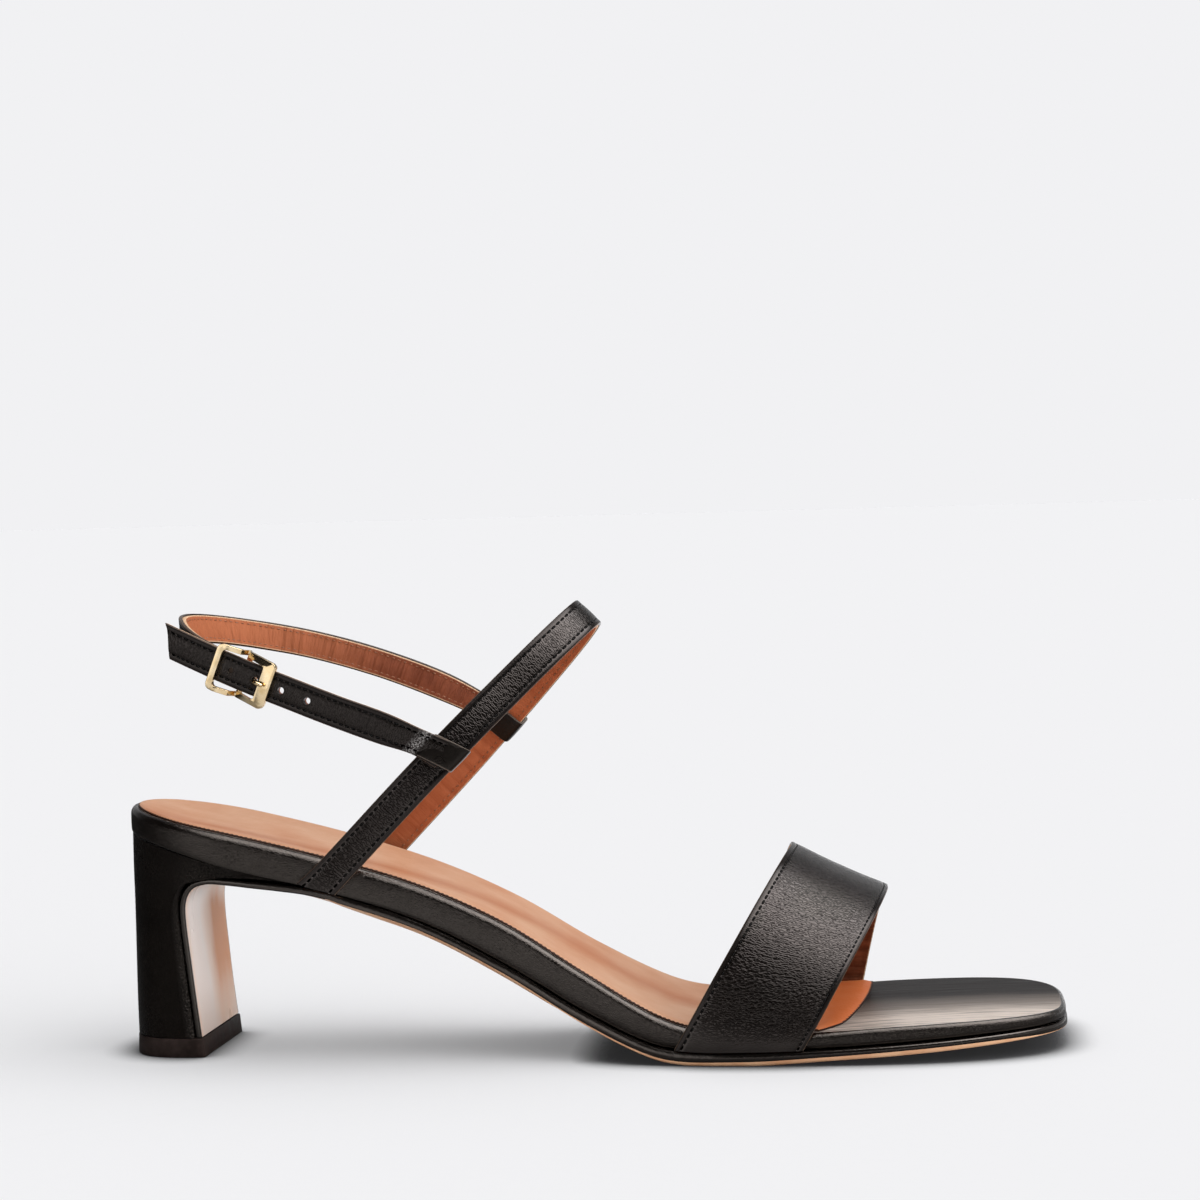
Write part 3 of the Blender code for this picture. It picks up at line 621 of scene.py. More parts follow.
def strap_leather():
    """Wrinkled strap leather: seam pits in painted shade, a painted edge with a painted highlight."""
    look = new_look("strap_black", INK, 0.2, Specular_IOR_Level=0.55, Specular_Tint=(1.0, 0.88, 0.82, 1.0))
    where = lay_place(look)
    lay = split(look, where)
    bands = {"Vector": stretch(look, where, 1.0, 0.8, 0.0), "Scale": 0.52,
             "Distortion": 8.0, "Detail": 1.0, "Detail Scale": 2.4}
    wrinkle = put(look, "TexWave", bands, bands_direction="X").outputs["Fac"]
    left = wrinkles_left(look, lay)
    far = stitch_far(look, lay)
    pit = spread(look, far, 0.75, 1.2)
    bump = raise_by(look, cloud(look, where, 0.22, 3.0), 0.4, 0.08)
    bump = raise_by(look, wrinkle, 0.03, left, bump)
    bump = raise_by(look, cloud(look, where, 3.0, 1.0), 0.01, left, bump)
    feed(look, "Normal", raise_by(look, pit, 0.2, 1.0, bump))
    patch = cloud(look, where, 0.12)
    skin = ramp(look, patch, (0.35, INK), (0.7, paler(INK, 1.6)))
    skin = blend(look, spread(look, lay["Z"], 0.75, 1.15), BROWN_MARGIN, skin)
    # the painted cut edge, made lighter as a painted highlight
    skin = blend(look, spread(look, lay["Z"], 0.08, 0.26), CUT_EDGE_HIGHLIGHT, skin)
    # painted highlight in pale creases where the punched strap bends over its loop
    skin = blend(look, painted_bend_highlight(look, where, lay), skin, CREASE_HIGHLIGHT)
    # painted shade in the stitch pits
    feed(look, "Base Color", blend(look, pit, PIT_SHADE, skin))
    groove = times(look, spread(look, wrinkle, 0.15, 0.65, 0.8, 0.0), left)
    shine = times(look, spread(look, far, 0.7, 1.15, 0.0, 0.54), spread(look, groove, 0.0, 1.0, 1.0, 0.0))
    rolled = spread(look, lay["Z"], 0.3, 1.3, 0.3, 1.0)
    duller = times(look, spread(look, lay["X"], *MARK_STEP, 1.0, 0.75), rolled)
    feed(look, "Specular IOR Level", times(look, shine, duller))
    feed(look, "Roughness", spread(look, patch, 0.3, 0.7, 0.19, 0.15))
    return look


def loop_leather():
    """Plain dark leather of the loops, its cut edges lighter with a painted highlight."""
    look = black_leather("loop_black", 0.6, 0.02, 0.3, 0.25)
    inside = spread(look, split(look, lay_place(look))["Z"], 0.0, 0.4)
    # the cut edge, lighter with a painted highlight
    feed(look, "Base Color", ramp(look, inside, (0.3, LOOP_EDGE_HIGHLIGHT), (0.7, INK)))
    return look


strap_black = strap_leather()
loop_black = loop_leather()
print("strap leathers:", strap_black.name, loop_black.name)

# %% [markdown]
# Toe leather
#
# In front of the strap the footbed's top is bare. Its leather is brushed from heel to toe, and its
# outer half has a warm sheen when it is seen along the surface, a painted sheen in its colour that is
# dimmed near the strap as painted shade. Noise that is drawn out lengthwise gives the brush marks,
# and a layer weight keeps the sheen for flat views, as on velvet.

# %% Toe leather
BRUSH = (48.0, 1100.0, 90.0)
# toe colours: dark leather, then a painted sheen at half and at full strength
TOE_DARK, TOE_HALF_SHEEN, TOE_PAINTED_SHEEN = (0.012, 0.01, 0.009), (0.2, 0.165, 0.14), (0.8, 0.69, 0.6)


def toe_leather():
    """Leather of the toe's top, brushed lengthwise, with a warm sheen painted on its outer half."""
    look = new_look("toe_black", (0.02, 0.017, 0.015), 0.36,
                    Specular_IOR_Level=0.12, Specular_Tint=(1.0, 0.92, 0.84, 1.0))
    where = object_place(look)
    parts = split(look, where)
    brush = cloud(look, stretch(look, where, *BRUSH), 1.0, 5.0, 0.62)
    drift = reckon(look, "MULTIPLY_ADD", brush, 0.034, parts["Y"])
    outer = spread(look, drift, 0.026, -0.008)
    along = spread(look, put(look, "LayerWeight", {"Blend": 0.5}).outputs["Facing"], 0.45, 0.8, 0.12, 1.0)
    streaks = spread(look, brush, 0.3, 0.7, 0.3, 1.45)
    # the painted sheen is dimmed near the vamp strap, as its painted shade
    ahead = spread(look, parts["X"], 0.064, 0.08, 0.75, 1.0)
    sheen = times(look, outer, along, streaks, ahead)
    # the sheen is painted into the base colour
    feed(look, "Base Color", ramp(look, sheen, (0.0, TOE_DARK), (0.4, TOE_HALF_SHEEN), (0.85, TOE_PAINTED_SHEEN)))
    feed(look, "Specular IOR Level", spread(look, sheen, 0.0, 0.8, 0.05, 0.4))
    feed(look, "Roughness", spread(look, brush, 0.3, 0.7, 0.44, 0.3))
    bump = raise_by(look, brush, 0.1, 0.4)
    feed(look, "Normal", raise_by(look, cloud(look, where, 3000.0, 3.0), 0.04, 0.6, bump))
    return look


toe_black = toe_leather()
print("toe leather:", toe_black.name)

# %% [markdown]
# Tan leathers
#
# Linings and the sole's underside are tan leather with a fine grain and a cloudy colour. On a strap
# the lining is creased across, because the strap was bent round the foot, with painted shade in the
# creases, and its cut edge is pale. Towards the back of the heel the lining is made lighter, as painted
# light on the bend. The sole throws back grey light only, so that it doesn't tint the floor.

# %% Tan leathers
# the second colour is painted light on the sling's bend round the back of the heel
PALE_EDGE, LIT_BEND_TAN = (0.8, 0.52, 0.32), (0.56, 0.18, 0.076)


def gray_bounce(look, skin, gray):
    """A skin that throws back grey light on what stands beside it."""
    return blend(look, put(look, "LightPath").outputs["Is Diffuse Ray"], skin, gray)


def tan_leather(name, dark, light, rough, creases=0.0, gloss=0.25):
    """Tan leather; on a strap, creases of a depth in millimetres with painted shade, and a pale cut edge."""
    look = new_look(name, light, rough, Specular_IOR_Level=gloss)
    where = object_place(look)
    tone = cloud(look, where, 130.0, 5.0)
    skin = ramp(look, tone, (0.3, dark), (0.7, light))
    bump = raise_by(look, cloud(look, where, 2600.0, 3.0), 0.06, 0.6)
    if creases:
        lay = lay_place(look)
        fold = cloud(look, stretch(look, lay, 0.42, 0.06, 0.0), 1.0, 4.0)
        bump = raise_by(look, fold, creases, 1.0, bump)
        # painted shade in the creases
        skin = blend(look, spread(look, fold, 0.32, 0.6, 0.85, 0.0), skin, dark)
        # painted light on the sling's bend round the back of the heel
        bend = spread(look, split(look, where)["X"], -0.055, -0.092, 0.0, 0.75)
        skin = blend(look, bend, skin, LIT_BEND_TAN)
        skin = blend(look, spread(look, split(look, lay)["Z"], 0.16, 0.34), PALE_EDGE, skin)
    else:
        skin = gray_bounce(look, skin, (0.24, 0.23, 0.22))
    feed(look, "Base Color", skin)
    feed(look, "Normal", bump)
    feed(look, "Roughness", spread(look, tone, 0.3, 0.7, rough + 0.08, rough - 0.06))
    return look


lining_tan = tan_leather("lining_tan", (0.38, 0.1, 0.038), (0.56, 0.17, 0.07), 0.55, 0.6, 0.12)
# the sling's and the vamp's linings are the same tan made darker, as painted shade
sling_shaded_tan = tan_leather("sling_shaded_tan", (0.15, 0.035, 0.013), (0.29, 0.076, 0.03), 0.55, 1.6, 0.12)
vamp_shaded_tan = tan_leather("vamp_shaded_tan", (0.09, 0.025, 0.01), (0.3, 0.09, 0.038), 0.55, 0.9, 0.12)
sole_tan = tan_leather("sole_tan", (0.8, 0.4, 0.21), (0.96, 0.58, 0.34), 0.4)
print("tan leathers:", [look.name for look in (lining_tan, sling_shaded_tan, vamp_shaded_tan, sole_tan)])

# %% [markdown]
# Sock leather
#
# The sock is the palest leather, rubbed in soft clouds. A darker line of painted shade wanders along
# its middle, in the hollow of the seat. The part in front of the vamp is a more saturated tan, as painted
# shade and warm bounce from the strap, and its edge is pinked into small teeth of painted shade. A sine
# along the edge is enough to draw the teeth, since they are finer than the mesh.

# %% Sock leather
SOCK_DARK, SOCK_LIGHT = (0.61, 0.295, 0.167), (0.73, 0.43, 0.265)
# painted shade: the line in the seat's hollow, the tan in front of the vamp, the edge's teeth
SOCK_HOLLOW_SHADE, SOCK_VAMP_SHADE, SOCK_EDGE_SHADE = (0.52, 0.2, 0.093), (0.7, 0.185, 0.058), (0.035, 0.014, 0.008)
TOOTH_TURN = 5.2
STRAY = 8.0


def sock_leather():
    """Sock: pale tan, rubbed in soft clouds, with painted shade in its hollow, before the vamp and at its
    edge.
    """
    look = new_look("sock_tan", (0.66, 0.33, 0.19), 0.45, Specular_IOR_Level=0.12)
    where = object_place(look)
    lay = split(look, lay_place(look))
    rub = cloud(look, where, 55.0, 5.0)
    skin = ramp(look, rub, (0.3, SOCK_DARK), (0.72, SOCK_LIGHT))
    middle = reckon(look, "ADD", lay["Y"], spread(look, lay["X"], 55.0, 120.0, 16.0, 3.0))
    strayed = reckon(look, "MULTIPLY_ADD", cloud(look, where, 40.0), STRAY, middle)
    off = reckon(look, "ABSOLUTE", reckon(look, "SUBTRACT", strayed, STRAY / 2))
    # painted shade in the hollow of the seat
    skin = blend(look, spread(look, off, 1.0, 11.0, 0.8, 0.0), skin, SOCK_HOLLOW_SHADE)
    # painted shade and warm bounce in front of the vamp strap
    skin = blend(look, spread(look, split(look, where)["X"], 0.045, 0.062), skin, SOCK_VAMP_SHADE)
    teeth = reckon(look, "SINE", times(look, lay["X"], TOOTH_TURN))
    inside = reckon(look, "GREATER_THAN", lay["Z"], spread(look, teeth, -1.0, 1.0, 0.16, 0.42))
    # teeth of painted shade along the pinked edge
    feed(look, "Base Color", blend(look, inside, SOCK_EDGE_SHADE, skin))
    bump = raise_by(look, cloud(look, stretch(look, where, 190.0, 60.0, 60.0), 1.0, 3.0), 0.9, 0.3)
    pores = put(look, "TexVoronoi", {"Vector": where, "Scale": 1300.0}).outputs["Distance"]
    bump = raise_by(look, pores, 0.06, 0.7, bump)
    feed(look, "Normal", raise_by(look, cloud(look, where, 2200.0, 3.0), 0.05, 0.7, bump))
    feed(look, "Roughness", spread(look, rub, 0.3, 0.7, 0.52, 0.36))
    return look


sock_tan = sock_leather()
print("sock leather:", sock_tan.name)

# %% [markdown]
# Flap leather
#
# The sole's flap on the heel's front is polished until it mirrors the floor, which makes it look
# almost white, and the tan shows through in a soft patch and along the outer edge. That near-white is
# a painted reflection in its colour, streaked, and it also gets a clear coat and a strong gloss that
# both fade out where it is tan.

# %% Flap leather
FLAP_STREAK = (12.0, 80.0, 20.0)
FLAP_RUN = 0.02
# the pale colour is a painted reflection of the floor, the brown is where the tan shows
FLAP_PAINTED_GLEAM, FLAP_WARM, FLAP_BROWN = (1.0, 0.78, 0.66), (0.95, 0.62, 0.44), (0.86, 0.39, 0.2)


def flap_leather():
    """Polished flap on the heel's front: a pale, streaked painted reflection, with a soft tan patch and outer
    edge.
    """
    look = new_look("flap_tan", (0.7, 0.52, 0.43), 0.3, Specular_IOR_Level=0.8, Coat_Roughness=0.15)
    where = object_place(look)
    parts = split(look, where)
    run = cloud(look, stretch(look, where, *FLAP_STREAK), 1.0)
    side = reckon(look, "MULTIPLY_ADD", run, FLAP_RUN, parts["Y"])
    level = reckon(look, "MULTIPLY_ADD", run, FLAP_RUN, parts["Z"])
    inner = times(look, spread(look, side, 0.002, 0.015), spread(look, side, 0.026, 0.04, 1.0, 0.6))
    band = times(look, spread(look, level, 0.056, 0.044), spread(look, level, 0.014, 0.032, 0.2, 1.0))
    outer = spread(look, parts["Y"], -0.0165, -0.0205, 0.0, 0.45)
    tan = reckon(look, "MAXIMUM", times(look, inner, band), outer)
    feed(look, "Specular IOR Level", spread(look, tan, 0.0, 0.8, 0.8, 0.05))
    feed(look, "Coat Weight", spread(look, tan, 0.0, 0.7, 0.6, 0.0))
    # the streaked pale is a painted reflection, fading to tan
    skin = ramp(look, tan, (0.0, FLAP_PAINTED_GLEAM), (0.4, FLAP_WARM), (0.95, FLAP_BROWN))
    feed(look, "Base Color", gray_bounce(look, skin, (0.3, 0.29, 0.28)))
    feed(look, "Roughness", spread(look, run, 0.3, 0.7, 0.36, 0.24))
    feed(look, "Normal", raise_by(look, cloud(look, where, 900.0, 3.0), 0.05, 0.4))
    return look


flap_tan = flap_leather()
print("flap leather:", flap_tan.name)

# %% [markdown]
# Thread, gold and rubber
#
# The small things need little: thread has a twist, which a slanting wave gives, the gold plate has
# faint rub marks in its roughness, and the rubber of the top piece is scuffed in patches.

# %% Thread, gold and rubber
def thread(name, color, gloss=0.5):
    """Waxed sewing thread with a twist."""
    look = new_look(name, color, 0.42, Specular_IOR_Level=gloss)
    turns = {"Vector": object_place(look), "Scale": 1500.0, "Distortion": 1.0}
    twist = put(look, "TexWave", turns, bands_direction="DIAGONAL").outputs["Fac"]
    feed(look, "Normal", raise_by(look, twist, 0.04, 0.7))
    return look


def gold_plate():
    """Pale gold plate, polished, with faint rub marks."""
    look = new_look("pale_gold", (0.83, 0.66, 0.41), 0.14, Metallic=1.0)
    where = object_place(look)
    rub = cloud(look, where, 420.0, 4.0)
    feed(look, "Roughness", spread(look, rub, 0.3, 0.75, 0.08, 0.2))
    feed(look, "Base Color", ramp(look, rub, (0.3, (0.74, 0.54, 0.28)), (0.7, (0.88, 0.71, 0.46))))
    feed(look, "Normal", raise_by(look, cloud(look, where, 1500.0), 0.03, 0.25))
    return look


def hard_rubber():
    """Moulded top piece, dark brown and lightly scuffed."""
    look = new_look("top_piece_rubber", (0.03, 0.02, 0.017), 0.48, Specular_IOR_Level=0.1)
    where = object_place(look)
    scuff = cloud(look, where, 330.0, 5.0)
    feed(look, "Base Color", ramp(look, scuff, (0.35, (0.02, 0.0125, 0.0105)), (0.75, (0.045, 0.03, 0.026))))
    feed(look, "Roughness", spread(look, scuff, 0.3, 0.7, 0.4, 0.58))
    feed(look, "Normal", raise_by(look, cloud(look, where, 2400.0, 3.0), 0.06, 0.5))
    return look


thread_black = thread("thread_black", (0.002, 0.0017, 0.0016), 0.15)
thread_tan = thread("thread_tan", (0.3, 0.11, 0.045))
pale_gold = gold_plate()
top_rubber = hard_rubber()
print("materials:", len(bpy.data.materials))

# %% [markdown]
# Footbed
#
# The footbed is a stiff board wrapped in black leather that is pulled round its edge, so its upper
# edge is a soft roll and its side is almost flat. It could be a block with a bevelled edge, but the
# roll changes along the shoe, so sections that know their station are laid round the outline. At the
# bare toe the top is a leather of its own, brushed to a sheen, and the edge there is tighter.

# %% Section of the board's side
ROLL_STEPS = 9
ROLL_ROUND, ROLL_TIGHTER = 1.6, 0.6
TIGHTER_FROM, TIGHTER_TO = 170.0, 192.0
ROLL_DEEP, ROLL_MOST = 1.45, 0.44
# share of the inset that is left under the heel, and where the rest comes in
HEEL_INSET, INSET_FROM, INSET_TO = 0.35, 55.0, 90.0
# inset, share of the board's height
SIDE_STEPS = ((0.8, 0.0), (0.35, 0.05), (0.12, 0.14), (0.03, 0.28), (0.0, 0.42), (0.0, 0.52))
# insets past the roll
TOP_STEPS = (0.15, 0.3, 0.5, 0.8, 1.3)


def roll(s):
    """Radius of the rolled upper edge, which is tight round the bare toe."""
    return ROLL_ROUND - ROLL_TIGHTER * ease(s, TIGHTER_FROM, TIGHTER_TO)


def roll_depth(s):
    """Height of the rolled edge, kept to less than half of the board's side."""
    return min(ROLL_DEEP * roll(s), ROLL_MOST * (bed_top(s) - bed_under(s)))


def inset_share(s):
    """Share of the side's inset at a station."""
    return HEEL_INSET + (1 - HEEL_INSET) * ease(s, INSET_FROM, INSET_TO)


def bed_section():
    """Steps of one side from the underside to the top: inset and height, each from a station."""
    steps = []
    for inset, share in SIDE_STEPS:
        steps.append((lambda s, inset=inset: inset * inset_share(s),
                      lambda s, share=share: bed_under(s) + (bed_top(s) - bed_under(s)) * share))
    for turn in range(1, ROLL_STEPS + 1):
        angle = math.pi / 2 * turn / ROLL_STEPS
        steps.append((lambda s, part=1 - math.cos(angle): roll(s) * part,
                      lambda s, drop=1 - math.sin(angle): bed_top(s) - drop * roll_depth(s)))
    for inset in TOP_STEPS:
        steps.append((lambda s, inset=inset: roll(s) + inset, bed_top))
    return steps


print("steps up one side of the board:", len(bed_section()))

# %% Wrap the board
BED_ACROSS, BED_UNDER = 14, 4


def wrap_board():
    """Closed skin of the footbed from sections across it."""
    steps = [(rim(lambda s, inset=inset: -inset(s)), height) for inset, height in bed_section()]
    side, flat = len(steps), len(TOP_STEPS)
    far_side = side + BED_ACROSS - 1
    under = far_side + side
    count = under + BED_UNDER - 1

    def where(k, c):
        c = c % count
        if c < side or far_side <= c < under:
            edges, height = steps[c if c < side else under - 1 - c]
            s, y = edges[0 if c < side else 1][k]
            z = height(s)
        elif c < far_side:
            t = (c - side + 1) / BED_ACROSS
            lateral, medial = steps[-1][0]
            s, y = between(lateral[k], medial[k], t)
            z = bed_top(s) - dish(s, t)
        else:
            lateral, medial = steps[0][0]
            s, y = between(medial[k], lateral[k], (c - under + 1) / BED_UNDER)
            z = bed_under(s)
        return place(s, y, z), (s, y, 0.0)

    board = lay_skin("footbed_wrap", STATIONS, count, where)
    for face in board.data.polygons:
        c = min(point // (STATIONS + 1) for point in face.vertices)
        face.material_index = 1 if side - flat <= c < far_side + flat - 1 else 0
    return close_up(board)


dress(wrap_board(), "footbed", "footbed_leather", smooth_black, toe_black)

# %% [markdown]
# Sock
#
# The sock is one thin tan leather glued on the board, from the heel to an arc in front of the vamp
# strap. A flat sheet dropped on the board would miss its dish, so the sheet is laid from the same
# heights as the board, a little above it, and thins to a rounded edge.

# %% Lay the sock
SOCK_PARTS = 26
SOCK_SWING = 120.0
SOCK_ARC_STEPS = 7
SOCK_UNDER, SOCK_EDGE, SOCK_RISE, SOCK_ROUND = 0.05, 0.3, 0.75, 1.4
ROUND_HEEL = 0.6


def sock_rows():
    """Lines across the sock, from the back of the seat to the front arc, each a list of points."""
    pairs = [p for p in zip(*rim(-SOCK_INSET)) if max(p[0][0], p[1][0]) < TREAD_LINE - 1.0]
    for step in range(SOCK_ARC_STEPS + 1):
        s = TREAD_LINE + (SOCK_END - TREAD_LINE) * step / SOCK_ARC_STEPS
        pairs.append(((s, edge(s, -1) + SOCK_INSET), (s, edge(s, 1) - SOCK_INSET)))
    rows = []
    for a, b in pairs:
        line = []
        swing = min(max((a[0] - SOCK_SWING) / (SOCK_END - SOCK_SWING), 0.0), 1.0) ** 2
        for c in range(SOCK_PARTS + 1):
            t = 0.5 - 0.5 * math.cos(math.pi * c / SOCK_PARTS)
            s, y = between(a, b, t)
            s += (column(SOCK_FRONT, 1, y) - SOCK_END) * swing
            if c in (0, SOCK_PARTS) and s > SEAT_ROUND:
                side = -1 if c == 0 else 1
                y = edge(s, side) - side * SOCK_INSET
            line.append((s, y, t))
        rows.append(line)
    return rows


def lay_sock():
    """Closed thin sheet of the sock."""
    rows = sock_rows()
    count = 2 * (SOCK_PARTS + 1)

    def where(k, c):
        c = c % count
        top = c > SOCK_PARTS
        s, y, t = rows[k][count - 1 - c if top else c]
        near = min(t, 1 - t) * (rows[k][-1][1] - rows[k][0][1])
        if s < SEAT_ROUND:
            near = min(near, SEAT_ROUND - SOCK_INSET - math.hypot(s - SEAT_ROUND, y))
        near = max(min(near, column(SOCK_FRONT, 1, y) - s), 0.0)
        lift = SOCK_EDGE + SOCK_RISE * math.sqrt(min(near / SOCK_ROUND, 1.0)) if top else SOCK_UNDER
        return place(s, y, bed_top(s) - dish(s, t) + lift), (s + ROUND_HEEL * abs(y), y, near)

    return close_up(lay_skin("sock", len(rows) - 1, count, where))


dress(lay_sock(), "insole", "sock_leather", sock_tan)

# %% [markdown]
# Outsole
#
# The leather sole runs from the toe under the arch and then, cut thinner, round the front of the
# heel as a flap. Its edge is rounded and inked black above, and left bare tan along the tread. The ink
# could be painted by height, but the line between them rises and falls. So the sections that go round
# the sole have a step on that line, and each face takes ink or leather by its step.

# %% Edge of the sole
# station, share of the edge that is left tan
TAN_SHARE = (
    (56.0, 0.05), (100.0, 0.12), (130.0, 0.2), (150.0, 0.3), (180.0, 0.4), (205.0, 0.46), (225.0, 0.4),
    (236.0, 0.12), (242.0, 0.04),
)
# inset, share of the height, and whether the share is counted in the tan part
SOLE_WALL = (
    (0.6, 0.0, True), (0.28, 0.1, True), (0.06, 0.35, True), (0.0, 0.7, True), (0.0, 1.0, True),
    (0.1, 0.03, False), (0.02, 0.12, False), (0.0, 0.4, False), (0.04, 0.7, False), (0.2, 0.9, False),
    (0.6, 1.0, False),
)
SOLE_UP, SOLE_OVER, SOLE_UNDER = len(SOLE_WALL), 3, 12
# columns at which the far edge and the underside begin, and their number all round
SOLE_FAR = SOLE_UP + SOLE_OVER - 1
SOLE_BELOW = SOLE_FAR + SOLE_UP
SOLE_ROUND = SOLE_BELOW + SOLE_UNDER - 1
FLAP_TAN = 0.1
SOLE_GAP = 0.3
LIP_HEEL, LIP_BALL, LIP_TOE = 0.4, 1.4, 0.3
CROWN_FROM, CROWN_IN, CROWN_TO, CROWN_OUT = 30.0, 40.0, 132.0, 30.0


def lip(s):
    """How far the sole's edge stands out from the footbed."""
    grown = (LIP_BALL - LIP_HEEL) * ease(s, 95.0, 140.0)
    return LIP_HEEL + grown - (LIP_BALL - LIP_TOE) * ease(s, 205.0, 239.0)


def crown(s, t):
    """Swell of the underside below its edges under the arch."""
    begin = min(max((s - CROWN_FROM) / CROWN_IN, 0.0), 1.0)
    end = min(max((CROWN_TO - s) / CROWN_OUT, 0.0), 1.0)
    return ARCH_CROWN * ease(begin * end, 0.0, 1.0) * (1 - (2 * t - 1) ** 4)


def wall_step(c):
    """Side (0 lateral, 1 medial) and step of the sole's edge at a column, or None off the edge."""
    if c < SOLE_UP:
        return 0, SOLE_WALL[c]
    return (1, SOLE_WALL[SOLE_BELOW - 1 - c]) if SOLE_FAR <= c < SOLE_BELOW else None


def face_share(c):
    """Whether a column off the edge is on top, the edge's inset there and the share across."""
    if c < SOLE_FAR:
        return True, SOLE_WALL[-1][0], (c - SOLE_UP + 1) / SOLE_OVER
    return False, SOLE_WALL[0][0], 1 - (c - SOLE_BELOW + 1) / SOLE_UNDER


print("columns round the sole:", SOLE_ROUND)

# %% Front part of the sole
SOLE_REAR = 57.5
WAIST_FROM, WAIST_TO = 50.0, 82.0
SOLE_RIMS = {inset: rim(lambda s, inset=inset: lip(s) - inset) for inset in {step[0] for step in SOLE_WALL}}
SOLE_ROWS = [k for k in reversed(range(STATIONS + 1)) if min(LATERAL[k][0], MEDIAL[k][0]) > SOLE_REAR]


def wall_height(s, share, low):
    """Height on the sole's edge by a share of its tan or its inked part."""
    tan = column(TAN_SHARE, 1, s)
    full = bed_under(s) - SOLE_GAP - tread(s)
    return tread(s) + full * (tan * share if low else tan + (1 - tan) * share)


def fore_edge(k, inset, side):
    """Plan point of the sole's edge, drawn in to the flap's width at the heel."""
    s, y = SOLE_RIMS[inset][side][k]
    narrow = math.copysign(FLAP[0][2] - inset, y)
    return s, narrow + (y - narrow) * ease(s, WAIST_FROM, WAIST_TO)


def fore_point(k, c):
    """Point of the sole's front part, by outline point and column."""
    if wall_step(c):
        side, (inset, share, low) = wall_step(c)
        s, y = fore_edge(k, inset, side)
        return place(s, y, wall_height(s, share, low)), (s, y, 0.0)
    on_top, inset, t = face_share(c)
    s, y = between(fore_edge(k, inset, 0), fore_edge(k, inset, 1), t)
    z = bed_under(s) - SOLE_GAP if on_top else tread(s) - crown(s, t)
    return place(s, y, z), (s, y, 0.0)


print("rows of the sole's front part:", len(SOLE_ROWS))

# %% [markdown]
# The flap follows its own path in side view, down the heel's front. Its thickness is set off square to
# the path, and it turns little by little into the line of the heel. Then both parts go on one grid.

# %% Lay the sole and its flap
FLAP_PATH = along_rows(FLAP, 72)
TURN_FROM, TURN_OVER = 58.0, 34.0


def flap_point(n, c):
    """Point of the flap, by step along its path and column."""
    s, z, half, thick = FLAP_PATH[n]
    ds, dz = way_along(FLAP_PATH, n) if n < len(FLAP_PATH) - 1 else (0.0, -1.0)
    if wall_step(c):
        side, (inset, share, low) = wall_step(c)
        y = (half - inset) * (2 * side - 1)
        deep = thick * (FLAP_TAN * share if low else FLAP_TAN + (1 - FLAP_TAN) * share)
    else:
        on_top, inset, t = face_share(c)
        y = (half - inset) * (2 * t - 1)
        deep = thick if on_top else 0.0
        z -= 0.0 if on_top else crown(s, t)
    turn = min(max((TURN_FROM - s) / TURN_OVER, 0.0), 1.0)
    return turned(s + dz * deep, y, z - ds * deep, turn), (s, y, 0.0)


def sole_point(k, c):
    """Point of the sole by row, toe first, and column."""
    c = c % SOLE_ROUND
    return fore_point(SOLE_ROWS[k], c) if k < len(SOLE_ROWS) else flap_point(k - len(SOLE_ROWS), c)


def sole_finish(k, c):
    """Finish of the face at a row and column: 0 bare tan, 1 inked, 2 flap."""
    up = c if c < SOLE_UP - 1 else SOLE_BELOW - 2 - c
    on_wall = c < SOLE_UP - 1 or SOLE_FAR - 1 < c < SOLE_BELOW - 1
    if on_wall and 0 <= up < SOLE_UP:
        inked = not SOLE_WALL[min(up + 1, SOLE_UP - 1)][2] or k > len(SOLE_ROWS)
    else:
        inked = SOLE_UP - 1 <= c < SOLE_FAR + 1
    return 1 if inked else 2 if k >= len(SOLE_ROWS) else 0


sole_last = len(SOLE_ROWS) + len(FLAP_PATH) - 1
outsole = lay_skin("leather_sole", sole_last, SOLE_ROUND, sole_point)
for face in outsole.data.polygons:
    cells = [divmod(point, sole_last + 1) for point in face.vertices]
    face.material_index = sole_finish(min(cell[1] for cell in cells), min(cell[0] for cell in cells))
dress(close_up(outsole), "outsole", "sole_leather", sole_tan, edge_ink, flap_tan)

# %% [markdown]
# Heel and top piece
#
# The heel is a block with a cover of thin black leather, round at the back and flat at the front,
# flaring up into the seat. No plain solid has that shape, so a grid goes round it from one front edge
# to the other, and its rows run from level at the floor to the slope of the seat. The last columns
# close its front behind the flap.

# %% Side and width of the heel
HEEL_ROWS, HEEL_AROUND, FRONT_STEPS = 64, 64, 6
HEEL_GAP = 0.25
HEEL_FOOT = 5.3
HEEL_FLARE, FLARE_FROM, FLARE_TO = 0.25, 40.0, 56.0
# ahead of the front line, in from the side
TURN_IN = ((0.0, 2.6), (0.0, 0.9), (0.25, 0.3), (0.8, 0.0))
HEEL_COLUMNS = HEEL_AROUND + 2 * len(TURN_IN)


def flap_back(clear):
    """Side-view line behind the flap, from the wedge down to the floor."""
    path = along_rows(FLAP, 60)
    line = []
    for k, (s, z, half, thick) in enumerate(path):
        ds, dz = way_along(path, k)
        line.append((s + dz * (thick + clear), z - ds * (thick + clear)))
    return line


HEEL_FRONT = evenly(flap_back(HEEL_GAP)[::-1], HEEL_ROWS)


def heel_side(k, share):
    """Station and height on the heel's side, at a row and a share from its front edge to its back."""
    up = k / HEEL_ROWS
    z_back = HEEL_FOOT + (bed_under(HEEL[-1][1]) - HEEL_GAP - HEEL_FOOT) * up
    s, level = between(HEEL_FRONT[k], (column(HEEL, 1, z_back), z_back), share)
    seat = bed_under(s) - HEEL_GAP
    return s, level + (seat - level) * up ** 4


